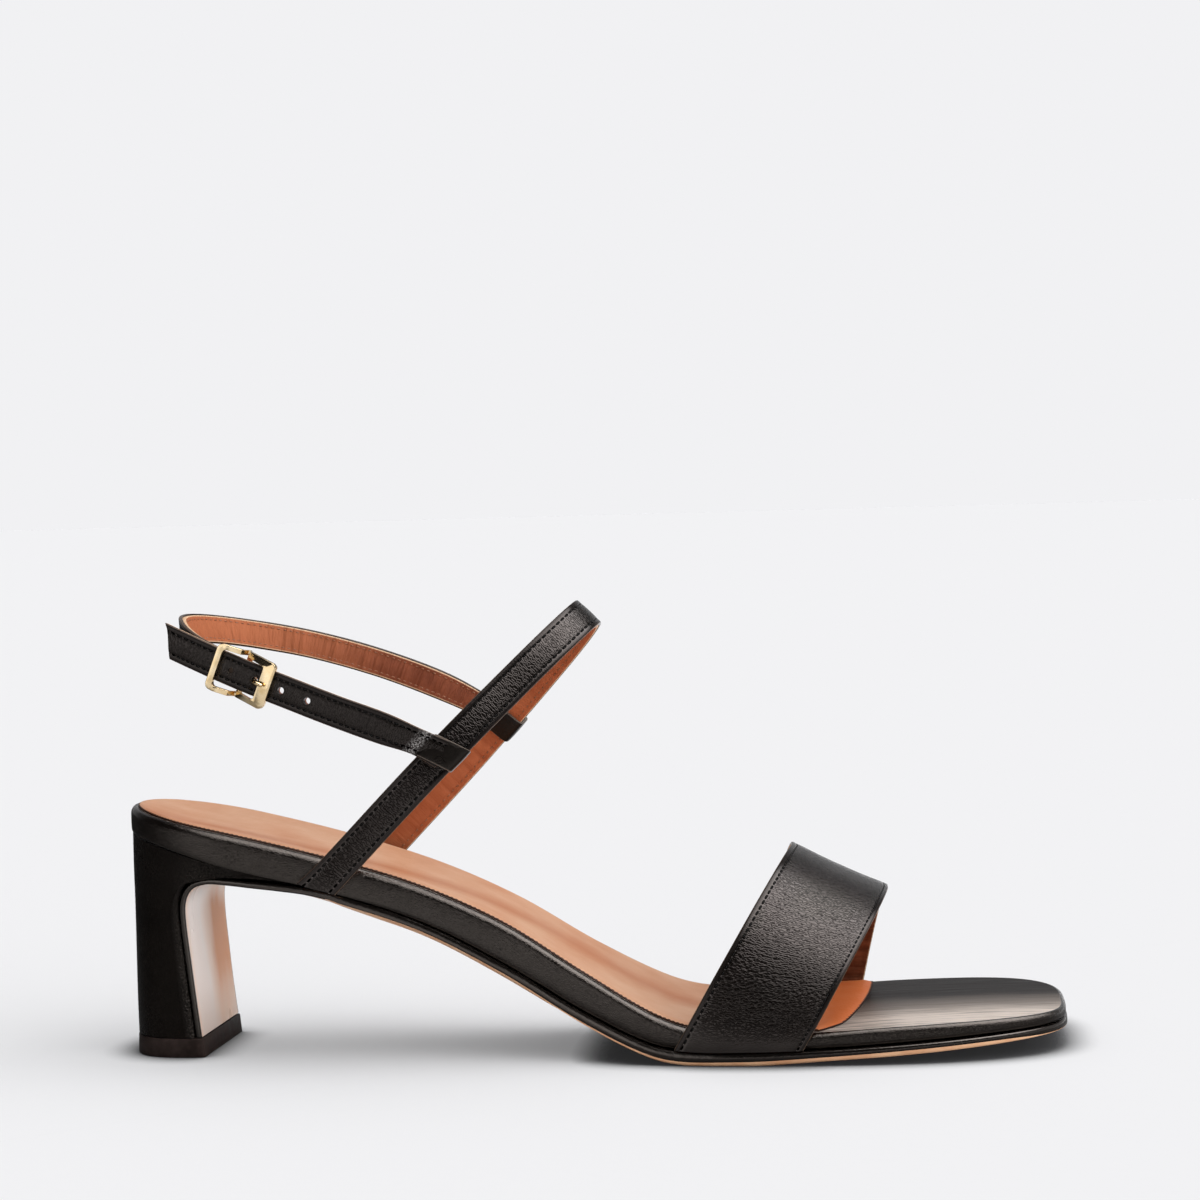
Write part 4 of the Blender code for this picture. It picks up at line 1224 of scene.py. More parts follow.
def heel_half(s, z):
    """Half width of the heel at a station and a height."""
    back, half, deep, power = (column(HEEL, number, z) for number in (1, 2, 3, 4))
    lap = min(max((back + deep - s) / deep, 0.0), 1.0)
    wide = half + HEEL_FLARE * ease(z, FLARE_FROM, FLARE_TO)
    return wide * max(1 - lap ** power, 0.0) ** (1 / power)


print("columns round the heel:", HEEL_COLUMNS)

# %% Cover the heel
BEAD_HIGH, BEAD_WIDE = 0.32, 2.2
BEAD_ROWS = (44.0, 58.0)
BACK_CROWD = 1.15


def heel_point(k, c):
    """Point of the cover by row, and by column from the lateral front edge round to the medial one."""
    sign = -1 if c <= HEEL_COLUMNS / 2 else 1
    c = c if sign < 0 else HEEL_COLUMNS - c
    if c < len(TURN_IN):
        ahead, inward = TURN_IN[c]
        s, z = heel_side(k, 0.0)
        y = sign * (heel_half(s, z) - inward)
        ds, dz = way_along(HEEL_FRONT, k)
        return turned(s - dz * ahead, y, z + ds * ahead), (z, y, 0.0)
    share = (c - len(TURN_IN) + 1) / (HEEL_AROUND / 2 + 1)
    s, z = heel_side(k, math.sin(share * math.pi / 2) ** BACK_CROWD)
    in_from = math.dist((s, z), heel_side(k, 0.0))
    bead = BEAD_HIGH * math.sin(math.pi * min(in_from / BEAD_WIDE, 1.0)) * (1 - ease(k, *BEAD_ROWS))
    y = sign * (heel_half(s, z) + bead)
    return turned(s, y, z), (z, y, in_from)


def heel_or_front(k, c):
    """Point of the cover, or past its last column a point straight across the heel's front."""
    if c <= HEEL_COLUMNS:
        return heel_point(k, c)
    (right, _), (left, lay) = heel_point(k, HEEL_COLUMNS), heel_point(k, 0)
    return right.lerp(left, (c - HEEL_COLUMNS) / FRONT_STEPS), lay


heel = lay_skin("heel_cover", HEEL_ROWS, HEEL_COLUMNS + FRONT_STEPS, heel_or_front)
dress(close_up(heel, drop_slivers=False), "heel", "heel_cover", heel_black)

# %% [markdown]
# The top piece is a plain block of rubber cut to the heel's foot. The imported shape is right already,
# so a copy of it is merged and only loses its sharp edges to a bevel.

# %% Take the edges off the top piece
def copy_node(node, name):
    """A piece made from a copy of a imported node, with its loose triangles merged."""
    bpy.ops.object.select_all(action="DESELECT")
    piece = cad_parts[node].copy()
    piece.data = piece.data.copy()
    piece.name = piece.data.name = name
    for key in list(piece.keys()):
        del piece[key]
    piece.parent = None
    bpy.context.scene.collection.objects.link(piece)
    in_edit(piece)
    bpy.ops.mesh.remove_doubles(threshold=MERGE)
    bpy.ops.mesh.dissolve_limited(angle_limit=math.radians(2.0))
    bpy.ops.object.mode_set(mode="OBJECT")
    return piece


def soften(piece, width, angle):
    """Round the edges of a piece that are sharper than an angle."""
    apply_tool(piece, "BEVEL", width=width * MM, segments=3,
               limit_method="ANGLE", angle_limit=math.radians(angle))


top_piece = copy_node("top_piece", "top_piece_block")
soften(top_piece, 0.28, 40.0)
dress(top_piece, "top_piece", "top_piece_rubber", top_rubber)

# %% [markdown]
# Straps
#
# A strap is two leathers sewn back to back: black outside, tan inside, cut in one. Its edge is
# rounded, and the row of stitches pulls a shallow groove beside the edge. A curve with a bevel would
# make a strap quickly, but not one with two leathers, so a section is drawn along each strap's path,
# once for the outer leather and once for the lining.

# %% Section of a strap
OUTER_TOP, MIDDLE, LINING_LOW = 1.0, 0.0, -0.95
LINING_SHY = 0.12
STRAP_ANGLE = 55.0


def outer_section(half, top, low):
    """Closed section of the outer leather: across in millimetres and lift above the strap's middle."""
    side = [(0.0, -0.42), (0.05, -0.22), (0.16, -0.09), (0.38, -0.02), (0.75, 0.0), (SEAM - 0.42, 0.0),
            (SEAM - 0.2, -0.04), (SEAM, -0.08), (SEAM + 0.2, -0.04), (SEAM + 0.42, 0.02), (SEAM + 1.0, 0.06)]
    section = [(across - half, top + lift) for across, lift in side]
    section += [(0.0, top + 0.1)]
    section += [(half - across, top + lift) for across, lift in reversed(side)]
    return section + [(half - 0.05, low), (0.0, low), (0.05 - half, low)]


def inner_section(half, top, low, seam=SEAM, shy=LINING_SHY):
    """Closed section of the lining, a little narrower than the outer leather."""
    half -= shy
    side = [(0.0, 0.3), (0.06, 0.12), (0.22, 0.02), (seam - 0.35, 0.0), (seam, 0.1), (seam + 0.35, 0.0)]
    section = [(half - across, low + lift) for across, lift in side]
    section += [(0.0, low)]
    section += [(across - half, low + lift) for across, lift in reversed(side)]
    return section + [(0.05 - half, top), (0.0, top), (half - 0.05, top)]


def strap_frames(points, up):
    """Middle, width way, outward way and way along at each point of a strap's path."""
    frames = []
    for k, point in enumerate(points):
        before = Vector(points[max(k - 1, 0)][:3])
        after = Vector(points[min(k + 1, len(points) - 1)][:3])
        run = (after - before).normalized()
        wide = (up - run * up.dot(run)).normalized()
        frames.append((Vector(point[:3]), wide, run.cross(wide), run))
    return frames


def lay_strap(name, place_on, count, section, half):
    """Closed skin of one leather of a strap; place_on(row, across, lift) gives its points."""
    size = len(section)

    def where(k, c):
        across, lift = section[c % size]
        spot, along = place_on(k, across, lift)
        return place(*spot), (along, across, half - abs(across))

    return close_up(lay_skin(name, count, size, where))


def lay_outer(name, place_on, count, half):
    """Outer leather of a narrow strap."""
    return lay_strap(name, place_on, count, outer_section(half, OUTER_TOP, MIDDLE), half)


def lay_lining(name, place_on, count, half):
    """Lining of a narrow strap, as wide as its outer leather."""
    return lay_strap(name, place_on, count, inner_section(half, MIDDLE, LINING_LOW), half)


def dress_ankle(piece, look):
    """Dress a leather of the ankle straps."""
    dress(piece, "ankle_straps", "strap_leather", look, angle=STRAP_ANGLE)


print("steps in the outer section:", len(outer_section(4.3, OUTER_TOP, MIDDLE)))

# %% [markdown]
# Instep strap
#
# The instep strap is an arch in a plane that leans forward. Both feet are cut to the line of the
# sole, so each line of the grid starts where that line crosses the sole's edge. The near foot is cut
# a little wider at the back, where it turns under.

# %% Arch of the instep strap
INSTEP_FOOT = (50.8, 41.0)
INSTEP_LEAN = math.radians(46.0)
INSTEP_RISE = 98.8
INSTEP_HALF = 4.3
INSTEP_POWER = 2.4
NEAR_REACH, FAR_REACH = 28.5, 27.4
SWELL, SWELL_FROM = 3.6, 0.14
FAR_SKEW, TOP_SKEW = 3.4, 1.8
INSTEP_FINE = 600
WIDTH_WAY = Vector((-math.sin(INSTEP_LEAN), 0, math.cos(INSTEP_LEAN)))


def instep_point(angle):
    """Middle of the instep strap round its arch."""
    near = angle < math.pi / 2
    rise = abs(math.sin(angle)) ** (2 / INSTEP_POWER)
    side = abs(math.cos(angle)) ** (2 / INSTEP_POWER)
    swell = max(rise - SWELL_FROM, 0.0) / (1 - SWELL_FROM)
    reach = (NEAR_REACH if near else FAR_REACH) + SWELL * math.sin(math.pi * min(swell * 1.25, 1.0)) ** 2
    climb = INSTEP_RISE * rise
    skew = FAR_SKEW * max(-math.cos(angle), 0.0) ** 1.5 + TOP_SKEW * math.sin(angle) ** 2
    s = INSTEP_FOOT[0] + climb * math.cos(INSTEP_LEAN) + skew * math.sin(INSTEP_LEAN)
    z = INSTEP_FOOT[1] + climb * math.sin(INSTEP_LEAN) - skew * math.cos(INSTEP_LEAN)
    return s, -side * reach if near else side * reach, z


arch = [instep_point(math.pi * k / 800) for k in range(801)]
instep_frames = strap_frames(evenly(arch, INSTEP_FINE), WIDTH_WAY)
INSTEP_STEP = (instep_frames[1][0] - instep_frames[0][0]).length
print(f"instep strap along its arch: {INSTEP_STEP * INSTEP_FINE:.1f} mm")

# %% Instep strap in two leathers
INSTEP_ROWS = 200
FOOT_SEARCH = 120
FLARE, FLARE_FADE = 0.16, 3.5
FEET = {}


def instep_spot(at, across, lift):
    """Point on the instep strap at a place along its path counted in fine steps."""
    k = min(max(int(at), 0), INSTEP_FINE - 1)
    a, b = instep_frames[k], instep_frames[k + 1]
    middle, up, out = (a[n].lerp(b[n], at - k) for n in range(3))
    return middle + up * across + out * lift


def foot_start(across, from_far):
    """Fine step at which a line of the strap crosses the sole's edge."""
    for step in range(FOOT_SEARCH):
        at = INSTEP_FINE - step if from_far else step
        spot = instep_spot(at, across, 0.0)
        if spot.z > bed_under(spot.x) + 0.1:
            return at
    return INSTEP_FINE - FOOT_SEARCH if from_far else FOOT_SEARCH


def on_instep(k, across, lift):
    """Point on the instep strap by row, with its feet cut to the sole."""
    key = round(across, 3)
    if key not in FEET:
        FEET[key] = (foot_start(across, False), foot_start(across, True))
    start, end = FEET[key]
    at = start + (end - start) * k / INSTEP_ROWS
    along = (at - start) * INSTEP_STEP
    flare = 1 + FLARE * math.exp(-along / FLARE_FADE) if across > 0 else 1.0
    wave = 0.12 * noise.noise(Vector((at * 0.03, across * 0.1, 3.0)))
    return instep_spot(at, across * flare, lift + wave), at * INSTEP_STEP


instep_leather = lay_outer("instep_leather", on_instep, INSTEP_ROWS, INSTEP_HALF)
instep_lining = lay_lining("instep_lining", on_instep, INSTEP_ROWS, INSTEP_HALF)
dress_ankle(instep_leather, strap_black)
dress_ankle(instep_lining, lining_tan)

# %% [markdown]
# Punched strap and heel sling
#
# The punched strap leaves the near loop and ends in a tail that is cut hollow. The sling leaves the
# far loop, goes round the heel and is folded round the buckle's bar. Both follow a path through a
# few points, with their width standing up.

# %% Paths of the two straps
SLING_HALF = 4.0
SLING_SHY, SLING_SEAM = 0.45, 1.2
# station, y, height, half width share
PUNCHED = (
    (87.0, -32.6, 77.9, 0.95), (80.5, -33.0, 81.3, 0.85), (72.0, -32.5, 84.7, 1.0), (60.0, -31.2, 89.1, 1.0),
    (48.0, -29.6, 93.8, 1.0), (36.0, -28.0, 98.6, 1.0), (26.0, -26.6, 103.0, 1.0), (16.8, -25.2, 107.3, 1.0),
)
BUCKLED = (
    (94.3, 30.0, 81.2, 0.9), (89.5, 29.9, 85.2, 0.8), (78.0, 28.6, 91.4, 0.92), (62.0, 27.0, 97.9, 0.92),
    (45.0, 24.8, 103.2, 0.92), (30.0, 19.8, 106.7, 0.94), (19.5, 11.0, 108.8, 0.97), (15.6, 0.0, 109.0, 1.0),
    (17.8, -11.0, 107.0, 1.0), (23.4, -19.4, 104.0, 1.0), (29.2, -23.2, 101.2, 1.0), (33.0, -24.9, 99.6, 1.0),
)
UP = Vector((0, 0, 1))
PUNCHED_ROWS, SLING_ROWS = 110, 190
ROW_STEP = 0.75
punched_path = along_rows(PUNCHED, PUNCHED_ROWS)
sling_path = along_rows(BUCKLED, SLING_ROWS)
punched_frames = strap_frames(punched_path, UP)
sling_frames = strap_frames(sling_path, UP)
print("rows of the punched strap and the sling:", PUNCHED_ROWS, SLING_ROWS)

# %% Lay the two straps
TAIL_ROWS = 14
PINCH_ROW, PINCH_SPAN, PINCH_DEEP = 13, 4.5, 0.5
TILT = 0.52
TILT_IN, TILT_OUT = (0.0, 22.0), (105.0, 160.0)


def on_punched(k, across, lift):
    """Point on the punched strap by row; its last rows lean to the hollow cut of the tail."""
    middle, up, out, run = punched_frames[k]
    part = across / SLING_HALF
    hollow = 1.74 * part + 0.98 * max(part, 0.0) ** 3 - 0.33 * min(part, 0.0) ** 2 - 0.2
    lean = hollow * ease(k, PUNCHED_ROWS - TAIL_ROWS, PUNCHED_ROWS)
    pinch = PINCH_DEEP * math.exp(-((k - PINCH_ROW) / PINCH_SPAN) ** 2) * (1 - part * part)
    wave = 0.1 * noise.noise(Vector((k * 0.06, part, 7.0)))
    spot = middle + up * across * punched_path[k][3] + run * lean - out * (lift - pinch + wave)
    return spot, PUNCHED_MARK + k * ROW_STEP


def on_sling(k, across, lift):
    """Point on the heel sling by row, tilted where it goes round the heel."""
    middle, up, out, run = sling_frames[k]
    wave = 0.12 * noise.noise(Vector((k * 0.07, across * 0.2, 11.0)))
    tilt = TILT * across * (1 - ease(k, *TILT_OUT)) * ease(k, *TILT_IN)
    return middle + up * across * sling_path[k][3] + out * (lift + wave + tilt), k * ROW_STEP


punched_leather = lay_outer("punched_leather", on_punched, PUNCHED_ROWS, SLING_HALF)
punched_lining = lay_lining("punched_lining", on_punched, PUNCHED_ROWS, SLING_HALF)
sling_leather = lay_outer("sling_leather", on_sling, SLING_ROWS, SLING_HALF)
sling_inner = inner_section(SLING_HALF, MIDDLE, LINING_LOW, SLING_SEAM, SLING_SHY)
sling_lining = lay_strap("sling_lining", on_sling, SLING_ROWS, sling_inner, SLING_HALF - SLING_SHY)
print("tail of the punched strap, station and height:", PUNCHED[-1][0], PUNCHED[-1][2])

# %% [markdown]
# The holes are punched with a round tool, so they are cut here with a cylinder and a boolean. Three
# go right through both leathers. One only dents the black leather under the buckle's frame. New points
# have no place on the leather yet, so they get one away from the seam.

# %% Punch the holes
BUCKLE_AT = Vector((36.3, -29.05, 98.3))
ALONG = Vector((0.921, -0.124, -0.37)).normalized()
TALL = (UP - ALONG * ALONG.z).normalized()
OUT = ALONG.cross(TALL)
HOLES_AT = (3.4, 10.7, 18.1)
DENT_AT, DENT_FLOOR = -3.4, 0.3
PUNCH_LONG = 9.0
CUT_LAY = (PUNCHED_MARK, 0.0, 3.0)


def at_buckle(u, v, w):
    """Point in the buckle's own plane: along the strap, across it and out from the foot."""
    return BUCKLE_AT + ALONG * u + TALL * v + OUT * w


def punch(piece, radius, holes, lift=0.0):
    """Cut round holes in one leather, with the middle of the tool at a lift above the strap's middle."""
    for at in holes:
        spot = at_buckle(at, 0, 0)
        middle, up, out, run = min(punched_frames, key=lambda row: (row[0] - spot).length)
        middle = middle + run * run.dot(spot - middle) - out * lift
        turn = out.to_track_quat("Z", "Y").to_euler()
        bpy.ops.object.select_all(action="DESELECT")
        bpy.ops.mesh.primitive_cylinder_add(vertices=24, radius=radius * MM, depth=PUNCH_LONG * MM,
                                            location=place(*middle), rotation=turn)
        punch_tool = bpy.context.object
        apply_tool(piece, "BOOLEAN", operation="DIFFERENCE", solver="EXACT", object=punch_tool)
        bpy.data.objects.remove(punch_tool, do_unlink=True)
    for spot in piece.data.attributes["lay"].data:
        if spot.vector.length < 0.001:
            spot.vector = CUT_LAY


punch(punched_leather, 0.86, HOLES_AT)
punch(punched_lining, 0.88, HOLES_AT)
punch(punched_leather, 0.7, [DENT_AT], DENT_FLOOR + PUNCH_LONG / 2)
dress_ankle(punched_leather, strap_black)
dress_ankle(punched_lining, lining_tan)
dress_ankle(sling_leather, strap_black)
dress_ankle(sling_lining, sling_shaded_tan)

# %% [markdown]
# Loops
#
# Each ankle strap ends in a loop of smooth black leather round the instep strap. It is a short sleeve
# with soft edges, a little wider than the strap inside it. A grid is bent round a rounded square, and
# its rear rim stands out further than its front one.

# %% Sleeves round the instep strap
LOOP_AROUND = 80
LOOP_HALF, LOOP_INNER, LOOP_OUTER = 5.0, -1.8, 1.1
LOOP_SQUARE = 0.4
LOOP_SHORT = 0.77
LOOP_REAR, LOOP_FRONT = 4.1, 3.15
# along the instep strap, in from the sleeve's outside
LOOP_WALL = (
    (-4.0, 1.0), (-4.1, 0.6), (-4.1, 0.25), (-3.98, 0.07), (-3.7, 0.0), (-2.4, -0.04), (0.0, -0.08),
    (2.4, -0.04), (3.7, 0.0), (3.98, 0.07), (4.1, 0.25), (4.1, 0.6), (4.0, 1.0),
)


def make_loop(name, at, next_at):
    """Closed sleeve round the instep strap, deep enough to take the end of an ankle strap outside it."""
    beside = [row for row in instep_frames[1:-1] if row[0].y * at.y > 0]
    middle, wide, out, run = min(beside, key=lambda row: math.hypot(row[0].x - at.x, row[0].z - at.z))
    wide = next_at - at
    wide = (wide - out * wide.dot(out)).normalized()
    low, high = LOOP_INNER, (at - middle).dot(out) + LOOP_OUTER
    middle = middle + out * (low + high) / 2

    def rounded(share, half):
        return math.copysign(abs(share) ** LOOP_SQUARE, share) * half

    def where(k, c):
        angle = 2 * math.pi * (k % LOOP_AROUND) / LOOP_AROUND
        step, inset = LOOP_WALL[c % len(LOOP_WALL)]
        step *= 1.0 if step < 0 else LOOP_SHORT
        u = rounded(math.cos(angle), LOOP_HALF - inset)
        v = rounded(math.sin(angle), (high - low) / 2 - inset)
        in_from = (LOOP_REAR if step < 0 else LOOP_FRONT) - abs(step)
        return place(*(middle + run * step + wide * u + out * v)), (k, step, in_from)

    return close_up(lay_skin(name, LOOP_AROUND, len(LOOP_WALL), where))


for name, path in (("near_loop", PUNCHED), ("far_loop", BUCKLED)):
    loop = make_loop(name, Vector(path[0][:3]), Vector(path[1][:3]))
    dress(loop, "ankle_straps", "strap_leather", loop_black)

# %% [markdown]
# Vamp strap
#
# The broad strap over the toes is lasted down both sides of the footbed. Its section changes along
# the arch, so its points come from a table of its rear and front lines, with the strap's thickness
# set off along the surface's own direction.

# %% Surface of the vamp strap
VAMP_ROLL = 0.07
VAMP_POWER = 2.5
VAMP_ROWS = 150
VAMP_WIDE = 30.0
VAMP_HALF = VAMP_WIDE / 2
VAMP_CLEAR = 0.3
VAMP_LEVEL = 0.35
VAMP_UP = 30.0
# share across (rear to front), lateral foot station, crest station, medial foot station, crest height
VAMP = (
    (0.0, 143.3, 171.6, 155.4, 49.2), (0.25, 151.2, 178.2, 163.4, 45.6), (0.5, 159.2, 184.6, 171.6, 42.4),
    (0.75, 167.3, 190.8, 179.9, 39.6), (1.0, 175.3, 196.2, 188.3, 37.3),
)


def vamp_point(share, angle):
    """Point on the inner face of the vamp strap, across its width and round its arch."""
    sign = -1 if angle < math.pi / 2 else 1
    foot = column(VAMP, 1 if sign < 0 else 3, share)
    crest = column(VAMP, 2, share)
    rise = abs(math.sin(angle)) ** (2 / VAMP_POWER)
    side = abs(math.cos(angle)) ** (2 / VAMP_POWER)
    s = foot + (crest - foot) * ((1 - VAMP_ROLL) * rise + VAMP_ROLL * (1 - side))
    start = bed_under(foot)
    z = start + (column(VAMP, 4, share) - start) * rise
    return Vector((s, (edge(s, sign) + sign * VAMP_CLEAR) * side, z))


def vamp_out(share, angle, near=0.05, turn=0.02):
    """Way out from the vamp strap's surface, level at its feet."""
    round_way = vamp_point(share, min(angle + turn, math.pi)) - vamp_point(share, max(angle - turn, 0.0))
    wide_way = vamp_point(min(share + near, 1.0), angle) - vamp_point(max(share - near, 0.0), angle)
    out = round_way.cross(wide_way).normalized()
    point = vamp_point(share, angle)
    if out.dot(Vector((0.0, point.y, VAMP_UP))) < 0:
        out = -out
    level = Vector((0, math.copysign(1, point.y), 0))
    return level.lerp(out, ease(math.sin(angle), 0.0, VAMP_LEVEL)).normalized()


vamp_turns = [math.pi * k / 600 for k in range(601)]
vamp_arch = [(*vamp_point(0.5, angle), angle) for angle in vamp_turns]
VAMP_ANGLES = [point[3] for point in evenly(vamp_arch, VAMP_ROWS)]
print("crest of the vamp strap:", VAMP[0][4], "to", VAMP[-1][4])

# %% Vamp strap in two leathers
VAMP_TOP, VAMP_MIDDLE, VAMP_LOW = 1.5, 0.65, 0.05
VAMP_STEP = 1.05
PLAIN_STEP = 6.0


def on_vamp(k, across, lift):
    """Point on the vamp strap by row; across is counted from its middle line."""
    share = across / VAMP_WIDE + 0.5
    angle = VAMP_ANGLES[k]
    wave = 0.1 * noise.noise(Vector((k * 0.05, across * 0.12, 5.0)))
    return vamp_point(share, angle) + vamp_out(share, angle) * (lift + wave), k * VAMP_STEP


def vamp_section(half, top, low, margin=2.6, parts=14):
    """Outer section of a strap with more steps across its broad middle."""
    section = outer_section(half, top, low)
    wide = [(-half + margin + 2 * (half - margin) * n / parts, top + 0.08) for n in range(1, parts)]
    plain = [(half - PLAIN_STEP * n, low) for n in range(1, 5)]
    return section[:11] + wide + section[12:23] + plain + section[23:]


def vamp_inner(half, top, low, margin=2.4, parts=10):
    """Lining section with more steps across its broad middle."""
    section = inner_section(half, top, low)
    wide = [(half - margin - 2 * (half - margin) * n / parts, low) for n in range(1, parts)]
    plain = [(PLAIN_STEP * n - half, top) for n in range(1, 5)]
    return section[:6] + wide + section[7:13] + plain + section[13:]


vamp_outside = vamp_section(VAMP_HALF, VAMP_TOP, VAMP_MIDDLE)
vamp_inside = vamp_inner(VAMP_HALF, VAMP_MIDDLE, VAMP_LOW)
vamp_leather = lay_strap("vamp_leather", on_vamp, VAMP_ROWS, vamp_outside, VAMP_HALF)
vamp_lining = lay_strap("vamp_lining", on_vamp, VAMP_ROWS, vamp_inside, VAMP_HALF)
dress(vamp_leather, "vamp_strap", "vamp_leather", strap_black, angle=STRAP_ANGLE)
dress(vamp_lining, "vamp_strap", "vamp_leather", vamp_shaded_tan, angle=STRAP_ANGLE)

# %% [markdown]
# Stitches
#
# Every strap is sewn along both edges. Stitches could be painted on, but they catch the light as
# small drops, so one stitch is modelled from a sphere with few faces and then copied along the seam
# lines, one into each pit of the leather.

# %% Model one stitch
STITCH_SIZE = (0.48 * MM, 0.18 * MM, 0.14 * MM)
bpy.ops.object.select_all(action="DESELECT")
bpy.ops.mesh.primitive_uv_sphere_add(segments=6, ring_count=5, radius=1.0)
stitch = bpy.context.object
in_edit(stitch)
bpy.ops.transform.rotate(value=math.pi / 2, orient_axis="Y", center_override=(0, 0, 0))
bpy.ops.transform.resize(value=STITCH_SIZE)
bpy.ops.object.mode_set(mode="OBJECT")
STITCH_POINTS = [point.co.copy() for point in stitch.data.vertices]
STITCH_FACES = [tuple(face.vertices) for face in stitch.data.polygons]
bpy.data.objects.remove(stitch, do_unlink=True)
print("faces of one stitch:", len(STITCH_FACES))

# %% Sew the seams
OUTER_SEAM, LINING_SEAM, VAMP_SEAM = 0.9, -0.92, 1.4


def seam_line(place_on, count, across, lift, first, last):
    """Places along a seam, one in each pit: point, way along and way out, in millimetres."""
    fine = []
    for k in range(count + 1):
        spot, along = place_on(k, across, lift)
        fine.append((spot, place_on(k, across, lift + 1.0)[0], along))
    start, end = (fine[0][2] + (fine[-1][2] - fine[0][2]) * share for share in (first, last))
    places = []
    want = (math.ceil(start / STITCH_PITCH) + 0.5) * STITCH_PITCH
    for low, high in zip(fine, fine[1:]):
        while low[2] <= want < high[2] and want < end:
            t = (want - low[2]) / (high[2] - low[2])
            spot, top = low[0].lerp(high[0], t), low[1].lerp(high[1], t)
            places.append((spot, (high[0] - low[0]).normalized(), (top - spot).normalized()))
            want += STITCH_PITCH
    return places


def sew(name, node, slot, look, places):
    """One piece of many stitches."""
    points, faces = [], []
    for spot, along, out in places:
        side = out.cross(along).normalized()
        turn = Matrix((along, side, along.cross(side))).transposed()
        start = len(points)
        points += [place(*spot) + turn @ point for point in STITCH_POINTS]
        faces += [tuple(start + number for number in face) for face in STITCH_FACES]
    mesh = bpy.data.meshes.new(name)
    mesh.from_pydata(points, [], faces)
    piece = bpy.data.objects.new(name, mesh)
    bpy.context.scene.collection.objects.link(piece)
    dress(piece, node, slot, look, angle=80.0)


vamp_seams, strap_seams, lining_seams = [], [], []
for side in (-1, 1):
    vamp_across, instep_across = side * (VAMP_HALF - SEAM), side * (INSTEP_HALF - SEAM)
    sling_across = side * (SLING_HALF - SEAM)
    vamp_seams += seam_line(on_vamp, VAMP_ROWS, vamp_across, VAMP_SEAM, 0.01, 0.99)
    strap_seams += seam_line(on_instep, INSTEP_ROWS, instep_across, OUTER_SEAM, 0.01, 0.99)
    strap_seams += seam_line(on_punched, PUNCHED_ROWS, sling_across, OUTER_SEAM, 0.14, 0.975)
    strap_seams += seam_line(on_sling, SLING_ROWS, sling_across, OUTER_SEAM, 0.04, 0.98)
    lining_seams += seam_line(on_sling, SLING_ROWS, sling_across, LINING_SEAM, 0.04, 0.98)
    lining_seams += seam_line(on_instep, INSTEP_ROWS, instep_across, LINING_SEAM, 0.02, 0.98)
sew("vamp_stitches", "vamp_strap", "vamp_leather", thread_black, vamp_seams)
sew("strap_stitches", "ankle_straps", "strap_leather", thread_black, strap_seams)
sew("lining_stitches", "ankle_straps", "strap_leather", thread_tan, lining_seams)
print("stitches:", len(vamp_seams) + len(strap_seams) + len(lining_seams))

# %% [markdown]
# Buckle
#
# The buckle is a cast frame with a broad front half and a thin rear half. Where they meet, the rear
# rails dip behind the strap to carry the bar that the sling is folded round. It starts as a flat block
# whose middle is opened by insetting both faces and bridging them, then the rails are cut and pushed.

# %% Frame of the buckle
FRAME_LONG, FRAME_TALL, FRAME_THICK = 16.4, 12.2, 1.5
FRAME_LIFT = 0.3
FRONT_BAR, RAIL = 3.2, 1.6
ALONG_AXIS = 0.9
OUTER_ROUND, INNER_ROUND = 1.5, 0.8
CLOSE = 0.1 * MM


def choose(piece, test, kind="FACE"):
    """Select the faces or edges of a piece in edit mode that pass a test of their middle and direction."""
    bpy.ops.mesh.select_mode(type=kind)
    bpy.ops.mesh.select_all(action="DESELECT")
    bpy.ops.object.mode_set(mode="OBJECT")
    mesh = piece.data
    if kind == "FACE":
        for face in mesh.polygons:
            face.select = test(face.center, face.normal)
    else:
        for line in mesh.edges:
            a, b = (mesh.vertices[number].co for number in line.vertices)
            line.select = test((a + b) / 2, (b - a).normalized())
    bpy.ops.object.mode_set(mode="EDIT")


def inside(at, margin):
    """Whether a point lies further than a margin inside the frame's outline."""
    return abs(at.x) < (FRAME_LONG / 2 - margin) * MM and abs(at.y) < (FRAME_TALL / 2 - margin) * MM


bpy.ops.object.select_all(action="DESELECT")
bpy.ops.mesh.primitive_cube_add(size=1.0)
cast = bpy.context.object
cast.name = cast.data.name = "buckle_frame_cast"
in_edit(cast)
bpy.ops.transform.resize(value=(FRAME_LONG * MM, FRAME_TALL * MM, FRAME_THICK * MM))
bpy.ops.transform.translate(value=(0, 0, (FRAME_LIFT + FRAME_THICK / 2) * MM))
choose(cast, lambda at, way: abs(way.z) > ALONG_AXIS)
bpy.ops.mesh.inset(thickness=RAIL * MM, use_individual=True)
choose(cast, lambda at, way: abs(way.z) > ALONG_AXIS and abs(at.x) < CLOSE and abs(at.y) < CLOSE)
bpy.ops.mesh.bridge_edge_loops()
choose(cast, lambda at, way: (abs(way.y) > ALONG_AXIS and abs(at.y) < CLOSE
                              and at.x > 0 and inside(at, 0.5)), "EDGE")
bpy.ops.transform.translate(value=((RAIL - FRONT_BAR) * MM, 0, 0))
choose(cast, lambda at, way: abs(way.z) > ALONG_AXIS and abs(at.x) > (FRAME_LONG / 2 - 0.2) * MM, "EDGE")
bpy.ops.mesh.bevel(offset=OUTER_ROUND * MM, segments=5)
choose(cast, lambda at, way: abs(way.z) > ALONG_AXIS and inside(at, 1.3), "EDGE")
bpy.ops.mesh.bevel(offset=INNER_ROUND * MM, segments=4)
bpy.ops.object.mode_set(mode="OBJECT")
print("buckle frame faces:", len(cast.data.polygons))

# %% [markdown]
# The rear rails are cut into short lengths, so that they can bend, and their edges are rounded before
# they are pushed down. The bar is a round pin across the dip. Last, the whole frame is turned from its
# own flat plane to its place on the strap.

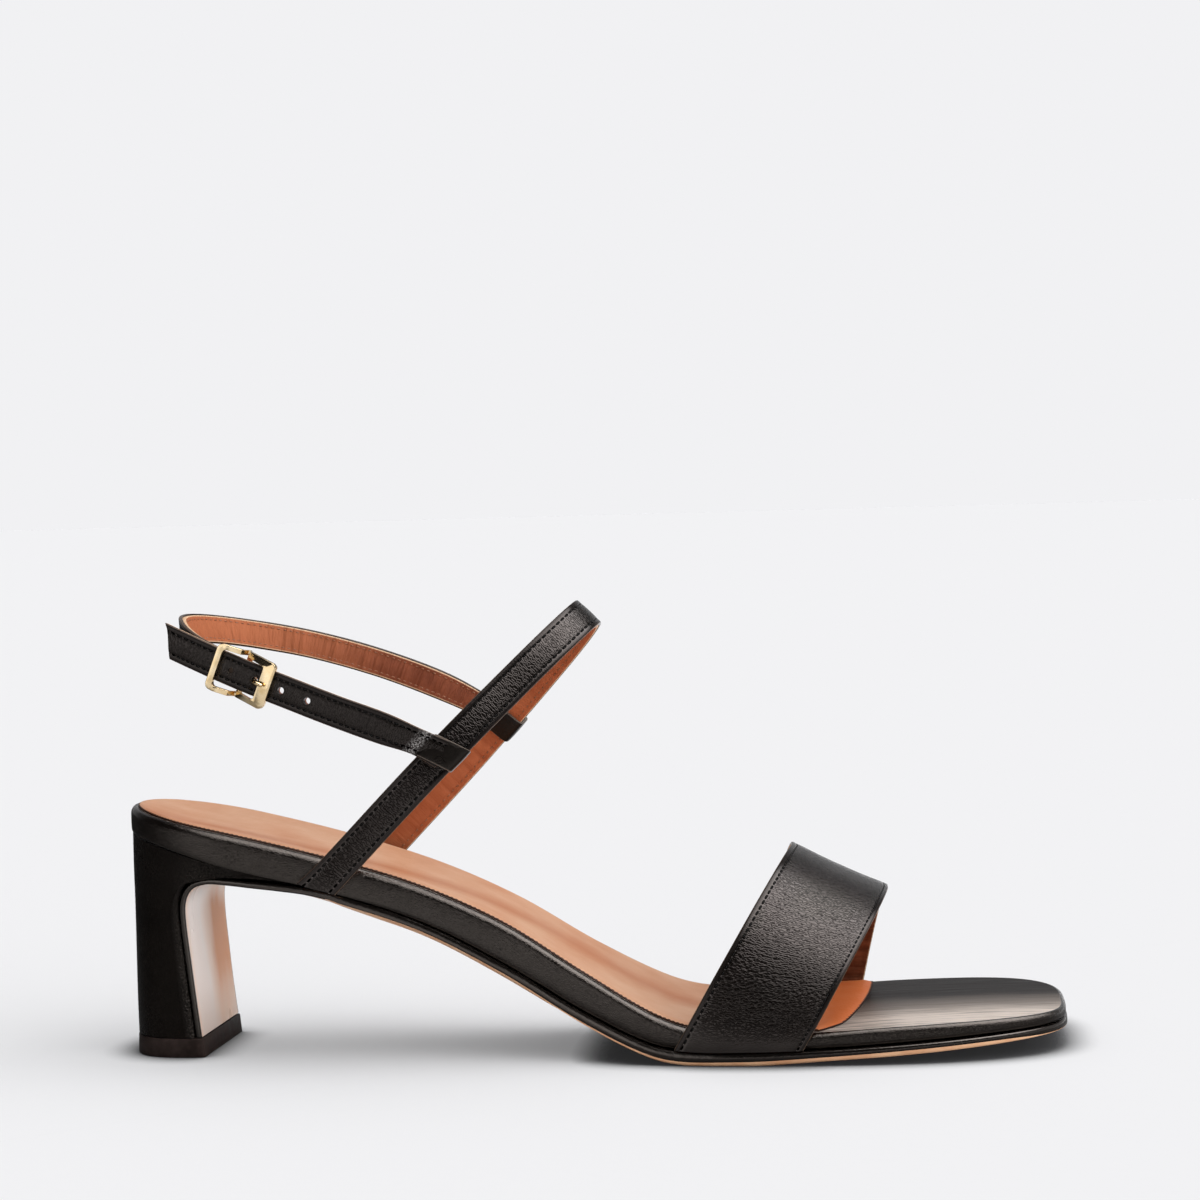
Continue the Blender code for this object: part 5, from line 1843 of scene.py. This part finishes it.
# %% Dip the rails, round the edges and add the bar
CUT_FROM, CUT_STEP, CUTS = -7.0, 0.3, 22
DIP_FROM, DIP_LONG, DIP_DEEP = -0.55, 5.6, 1.7
NOTCH_AT, NOTCH_HALF, NOTCH_DEEP = -1.15, 1.1, 3.0
RAIL_THIN = 0.3
BAR_AT, BAR_DEEP, BAR_ROUND, BAR_SHORT = -0.9, -4.4, 0.8, 1.4


def hump(share):
    """Soft hump that is 1 in its middle and 0 from a share of 1 on."""
    return 0.5 + 0.5 * math.cos(math.pi * min(share, 1.0))


in_edit(cast)
for step in range(CUTS):
    bpy.ops.mesh.select_all(action="SELECT")
    bpy.ops.mesh.bisect(plane_co=((CUT_FROM + CUT_STEP * step) * MM, 0, 0), plane_no=(1, 0, 0))
bpy.ops.object.mode_set(mode="OBJECT")
soften(cast, 0.32, 50.0)
for point in cast.data.vertices:
    u, v = point.co.x / MM, point.co.y / MM
    if u < DIP_FROM:
        arc, notch = hump((DIP_FROM - u) / DIP_LONG), hump(abs(u - NOTCH_AT) / NOTCH_HALF)
        point.co.z -= (DIP_DEEP * arc + NOTCH_DEEP * notch) * MM
        thin = RAIL_THIN * ease(-u, 0.55, 1.4) * (1 - ease(-u, 5.6, 7.2))
        if abs(v) > FRAME_TALL / 2 - RAIL - 0.4:
            point.co.y += math.copysign((FRAME_TALL / 2 - abs(v)) * thin - RAIL_THIN * thin, v) * MM
bpy.ops.object.select_all(action="DESELECT")
bpy.ops.mesh.primitive_cylinder_add(vertices=20, radius=BAR_ROUND * MM, depth=(FRAME_TALL - BAR_SHORT) * MM,
                                    location=(BAR_AT * MM, 0, BAR_DEEP * MM), rotation=(math.pi / 2, 0, 0))
bpy.ops.object.transform_apply(location=True, rotation=True, scale=True)
cast.select_set(True)
bpy.context.view_layer.objects.active = cast
bpy.ops.object.join()
stand = Matrix((ALONG, TALL, OUT)).transposed().to_4x4()
stand.translation = place(*BUCKLE_AT)
cast.data.transform(stand)
dress(cast, "buckle_frame", "buckle_metal", pale_gold)

# %% [markdown]
# The prong is a bent pin with an eye round the bar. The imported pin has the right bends, so its copy
# only needs to be smoother, which one level of subdivision gives.

# %% Prong
prong = copy_node("buckle_prong", "prong_pin")
apply_tool(prong, "SUBSURF", levels=1, render_levels=1)
dress(prong, "buckle_prong", "prong_metal", pale_gold, angle=60.0)

# %% [markdown]
# Floor
#
# The sandal stands on pale matt paper. A plain white plane would be the simplest floor, but black
# leather is a mirror for whatever it sees. So polished things see the paper darken to the left and
# close under the sandal, as beside a black screen, and see it bright again further off. Where something
# touches the paper it is shaded, and the camera sees the rest as one even white with the background.

# %% Floor
FLOOR_SIZE = 60.0
PAPER_DARK, PAPER_LIGHT = (0.878, 0.878, 0.878), (0.882, 0.882, 0.882)
CONTACT_SHADE = (0.12, 0.121, 0.124)
PAPER_GLOW = (0.88, 0.88, 0.896, 1.0)
TOUCH_REACH = 0.01


def either(look, share, first, second):
    """Number part of the way from one number to another."""
    return put(look, "Mix", {0: share, 2: first, 3: second}, data_type="FLOAT").outputs[0]


def floor_in_gloss(look, parts):
    """Brightness of the paper as polished things see it."""
    right_of_heel = spread(look, parts["X"], -0.15, -0.09, 0.3, 1.0)
    ahead = times(look, spread(look, parts["Y"], -0.045, -0.1), right_of_heel)
    behind = times(look, spread(look, parts["Y"], 0.05, 0.15), spread(look, parts["X"], -0.15, -0.05))
    far_ahead = spread(look, parts["Y"], -0.36, -0.48, 0.0, 0.88)
    bright = reckon(look, "MAXIMUM", reckon(look, "MAXIMUM", ahead, behind), far_ahead)
    return either(look, bright, spread(look, parts["X"], -0.3, -0.12, 0.02, 0.18), 0.9)


def floor_paper():
    """Pale matt paper with a faint tooth, shaded where it is touched and lifted for the camera."""
    look = new_look("floor_paper", (0.88, 0.88, 0.88), 0.9, Specular_IOR_Level=0.0, Emission_Color=PAPER_GLOW)
    where = object_place(look)
    ray = put(look, "LightPath").outputs
    touch = put(look, "AmbientOcclusion", {"Distance": TOUCH_REACH}, samples=8).outputs["AO"]
    clear = spread(look, touch, 0.5, 0.97)
    tooth = ramp(look, cloud(look, where, 300.0), (0.3, PAPER_DARK), (0.7, PAPER_LIGHT))
    paper = blend(look, clear, CONTACT_SHADE, tooth)
    tone = blend(look, ray["Is Glossy Ray"], paper, floor_in_gloss(look, split(look, where)))
    share = spread(look, ray["Is Camera Ray"], 0.0, 1.0, 1.0, 0.81)
    dimmed = put(look, "VectorMath", {0: tone, "Scale": share}, operation="SCALE").outputs["Vector"]
    feed(look, "Base Color", dimmed)
    lift = spread(look, clear, 0.0, 1.0, 0.02, 0.19)
    feed(look, "Emission Strength", times(look, lift, ray["Is Camera Ray"]))
    return look


bpy.ops.object.select_all(action="DESELECT")
bpy.ops.mesh.primitive_plane_add(size=FLOOR_SIZE)
floor = bpy.context.object
floor.name = "floor"
floor.data.materials.append(floor_paper())
print("floor:", floor.data.materials[0].name)

# %% [markdown]
# Light
#
# A broad soft light hangs above and the room in front is dim, which is what makes black leather look
# black. Lamps could be placed one by one, but a room that is painted on the sky gives softer edges.
# It has two paintings: one that polished things mirror, with the light box, the wall behind, the toe's
# side and a card, and one that lights matt things, with a dome and a fill from the toe's side.

# %% Soft room light
BACKDROP = 0.88
BACKDROP_TINT = (1.0, 1.0, 1.018, 1.0)
world = bpy.data.worlds.new("studio")
bpy.context.scene.world = world
world.use_nodes = True
world.cycles.sampling_method = "NONE"
way = put(world, "TexCoord").outputs["Generated"]
parts = split(world, way)


def toward(*aim):
    """How nearly a ray goes one way, 1 when it does."""
    inputs = {0: way, 1: Vector(aim).normalized()}
    return put(world, "VectorMath", inputs, operation="DOT_PRODUCT").outputs["Value"]


box_light = spread(world, toward(0.42, -0.22, 0.88), 0.73, 0.9, 0.02, 5.8)
wall_light = spread(world, parts["Y"], 0.5, 0.95, 0.0, 0.38)
toe_light = spread(world, parts["X"], 0.5, 0.95, 0.0, 0.4)
card_light = spread(world, toward(-0.55, -0.82, 0.03), 0.93, 0.975, 0.0, 1.3)
above_and_behind = reckon(world, "ADD", box_light, wall_light)
gloss_light = reckon(world, "ADD", above_and_behind, reckon(world, "ADD", toe_light, card_light))
dome_light = spread(world, toward(-0.1, 0.2, 0.97), 0.55, 0.96, 0.18, 1.45)
fill_light = spread(world, toward(0.93, -0.3, 0.2), 0.4, 0.95, 0.0, 1.85)
soft_light = reckon(world, "ADD", dome_light, fill_light)
ray = put(world, "LightPath").outputs
room = either(world, ray["Is Glossy Ray"], soft_light, gloss_light)
shown = either(world, ray["Is Camera Ray"], room, BACKDROP)
background = world.node_tree.nodes["Background"]
world.node_tree.links.new(shown, background.inputs["Strength"])
background.inputs["Color"].default_value = BACKDROP_TINT
print("nodes of the room light:", len(world.node_tree.nodes))

# %% [markdown]
# Camera
#
# The camera is at the photograph's angle: a little above the sandal and a little towards the toe,
# slightly rolled. Its place is worked out from a point it aims at, three angles and a distance, since
# those can be read from a picture one at a time.

# %% Camera
AIM = place(124.4, 0.0, 114.3)
DISTANCE = 0.8
YAW, ELEVATION, ROLL = math.radians(5.56), math.radians(1.83), math.radians(-1.56)
SENSOR, LENS, CLIP_START = 36.0, 92.94, 0.01
level = math.cos(ELEVATION)
back = Vector((math.sin(YAW) * level, -math.cos(YAW) * level, math.sin(ELEVATION)))
right = Vector((math.cos(YAW), math.sin(YAW), 0))
upward = back.cross(right)
turned_right = right * math.cos(ROLL) + upward * math.sin(ROLL)
turned_up = upward * math.cos(ROLL) - right * math.sin(ROLL)
bpy.ops.object.camera_add()
camera = bpy.context.object
camera.name = "camera"
tripod = Matrix((turned_right, turned_up, back)).transposed().to_4x4()
tripod.translation = AIM + back * DISTANCE
camera.matrix_world = tripod
camera.data.sensor_width = SENSOR
camera.data.lens = LENS
camera.data.clip_start = CLIP_START
bpy.context.scene.camera = camera
bpy.context.scene.view_settings.view_transform = "Standard"
print("camera at:", tuple(round(part, 3) for part in camera.matrix_world.translation))
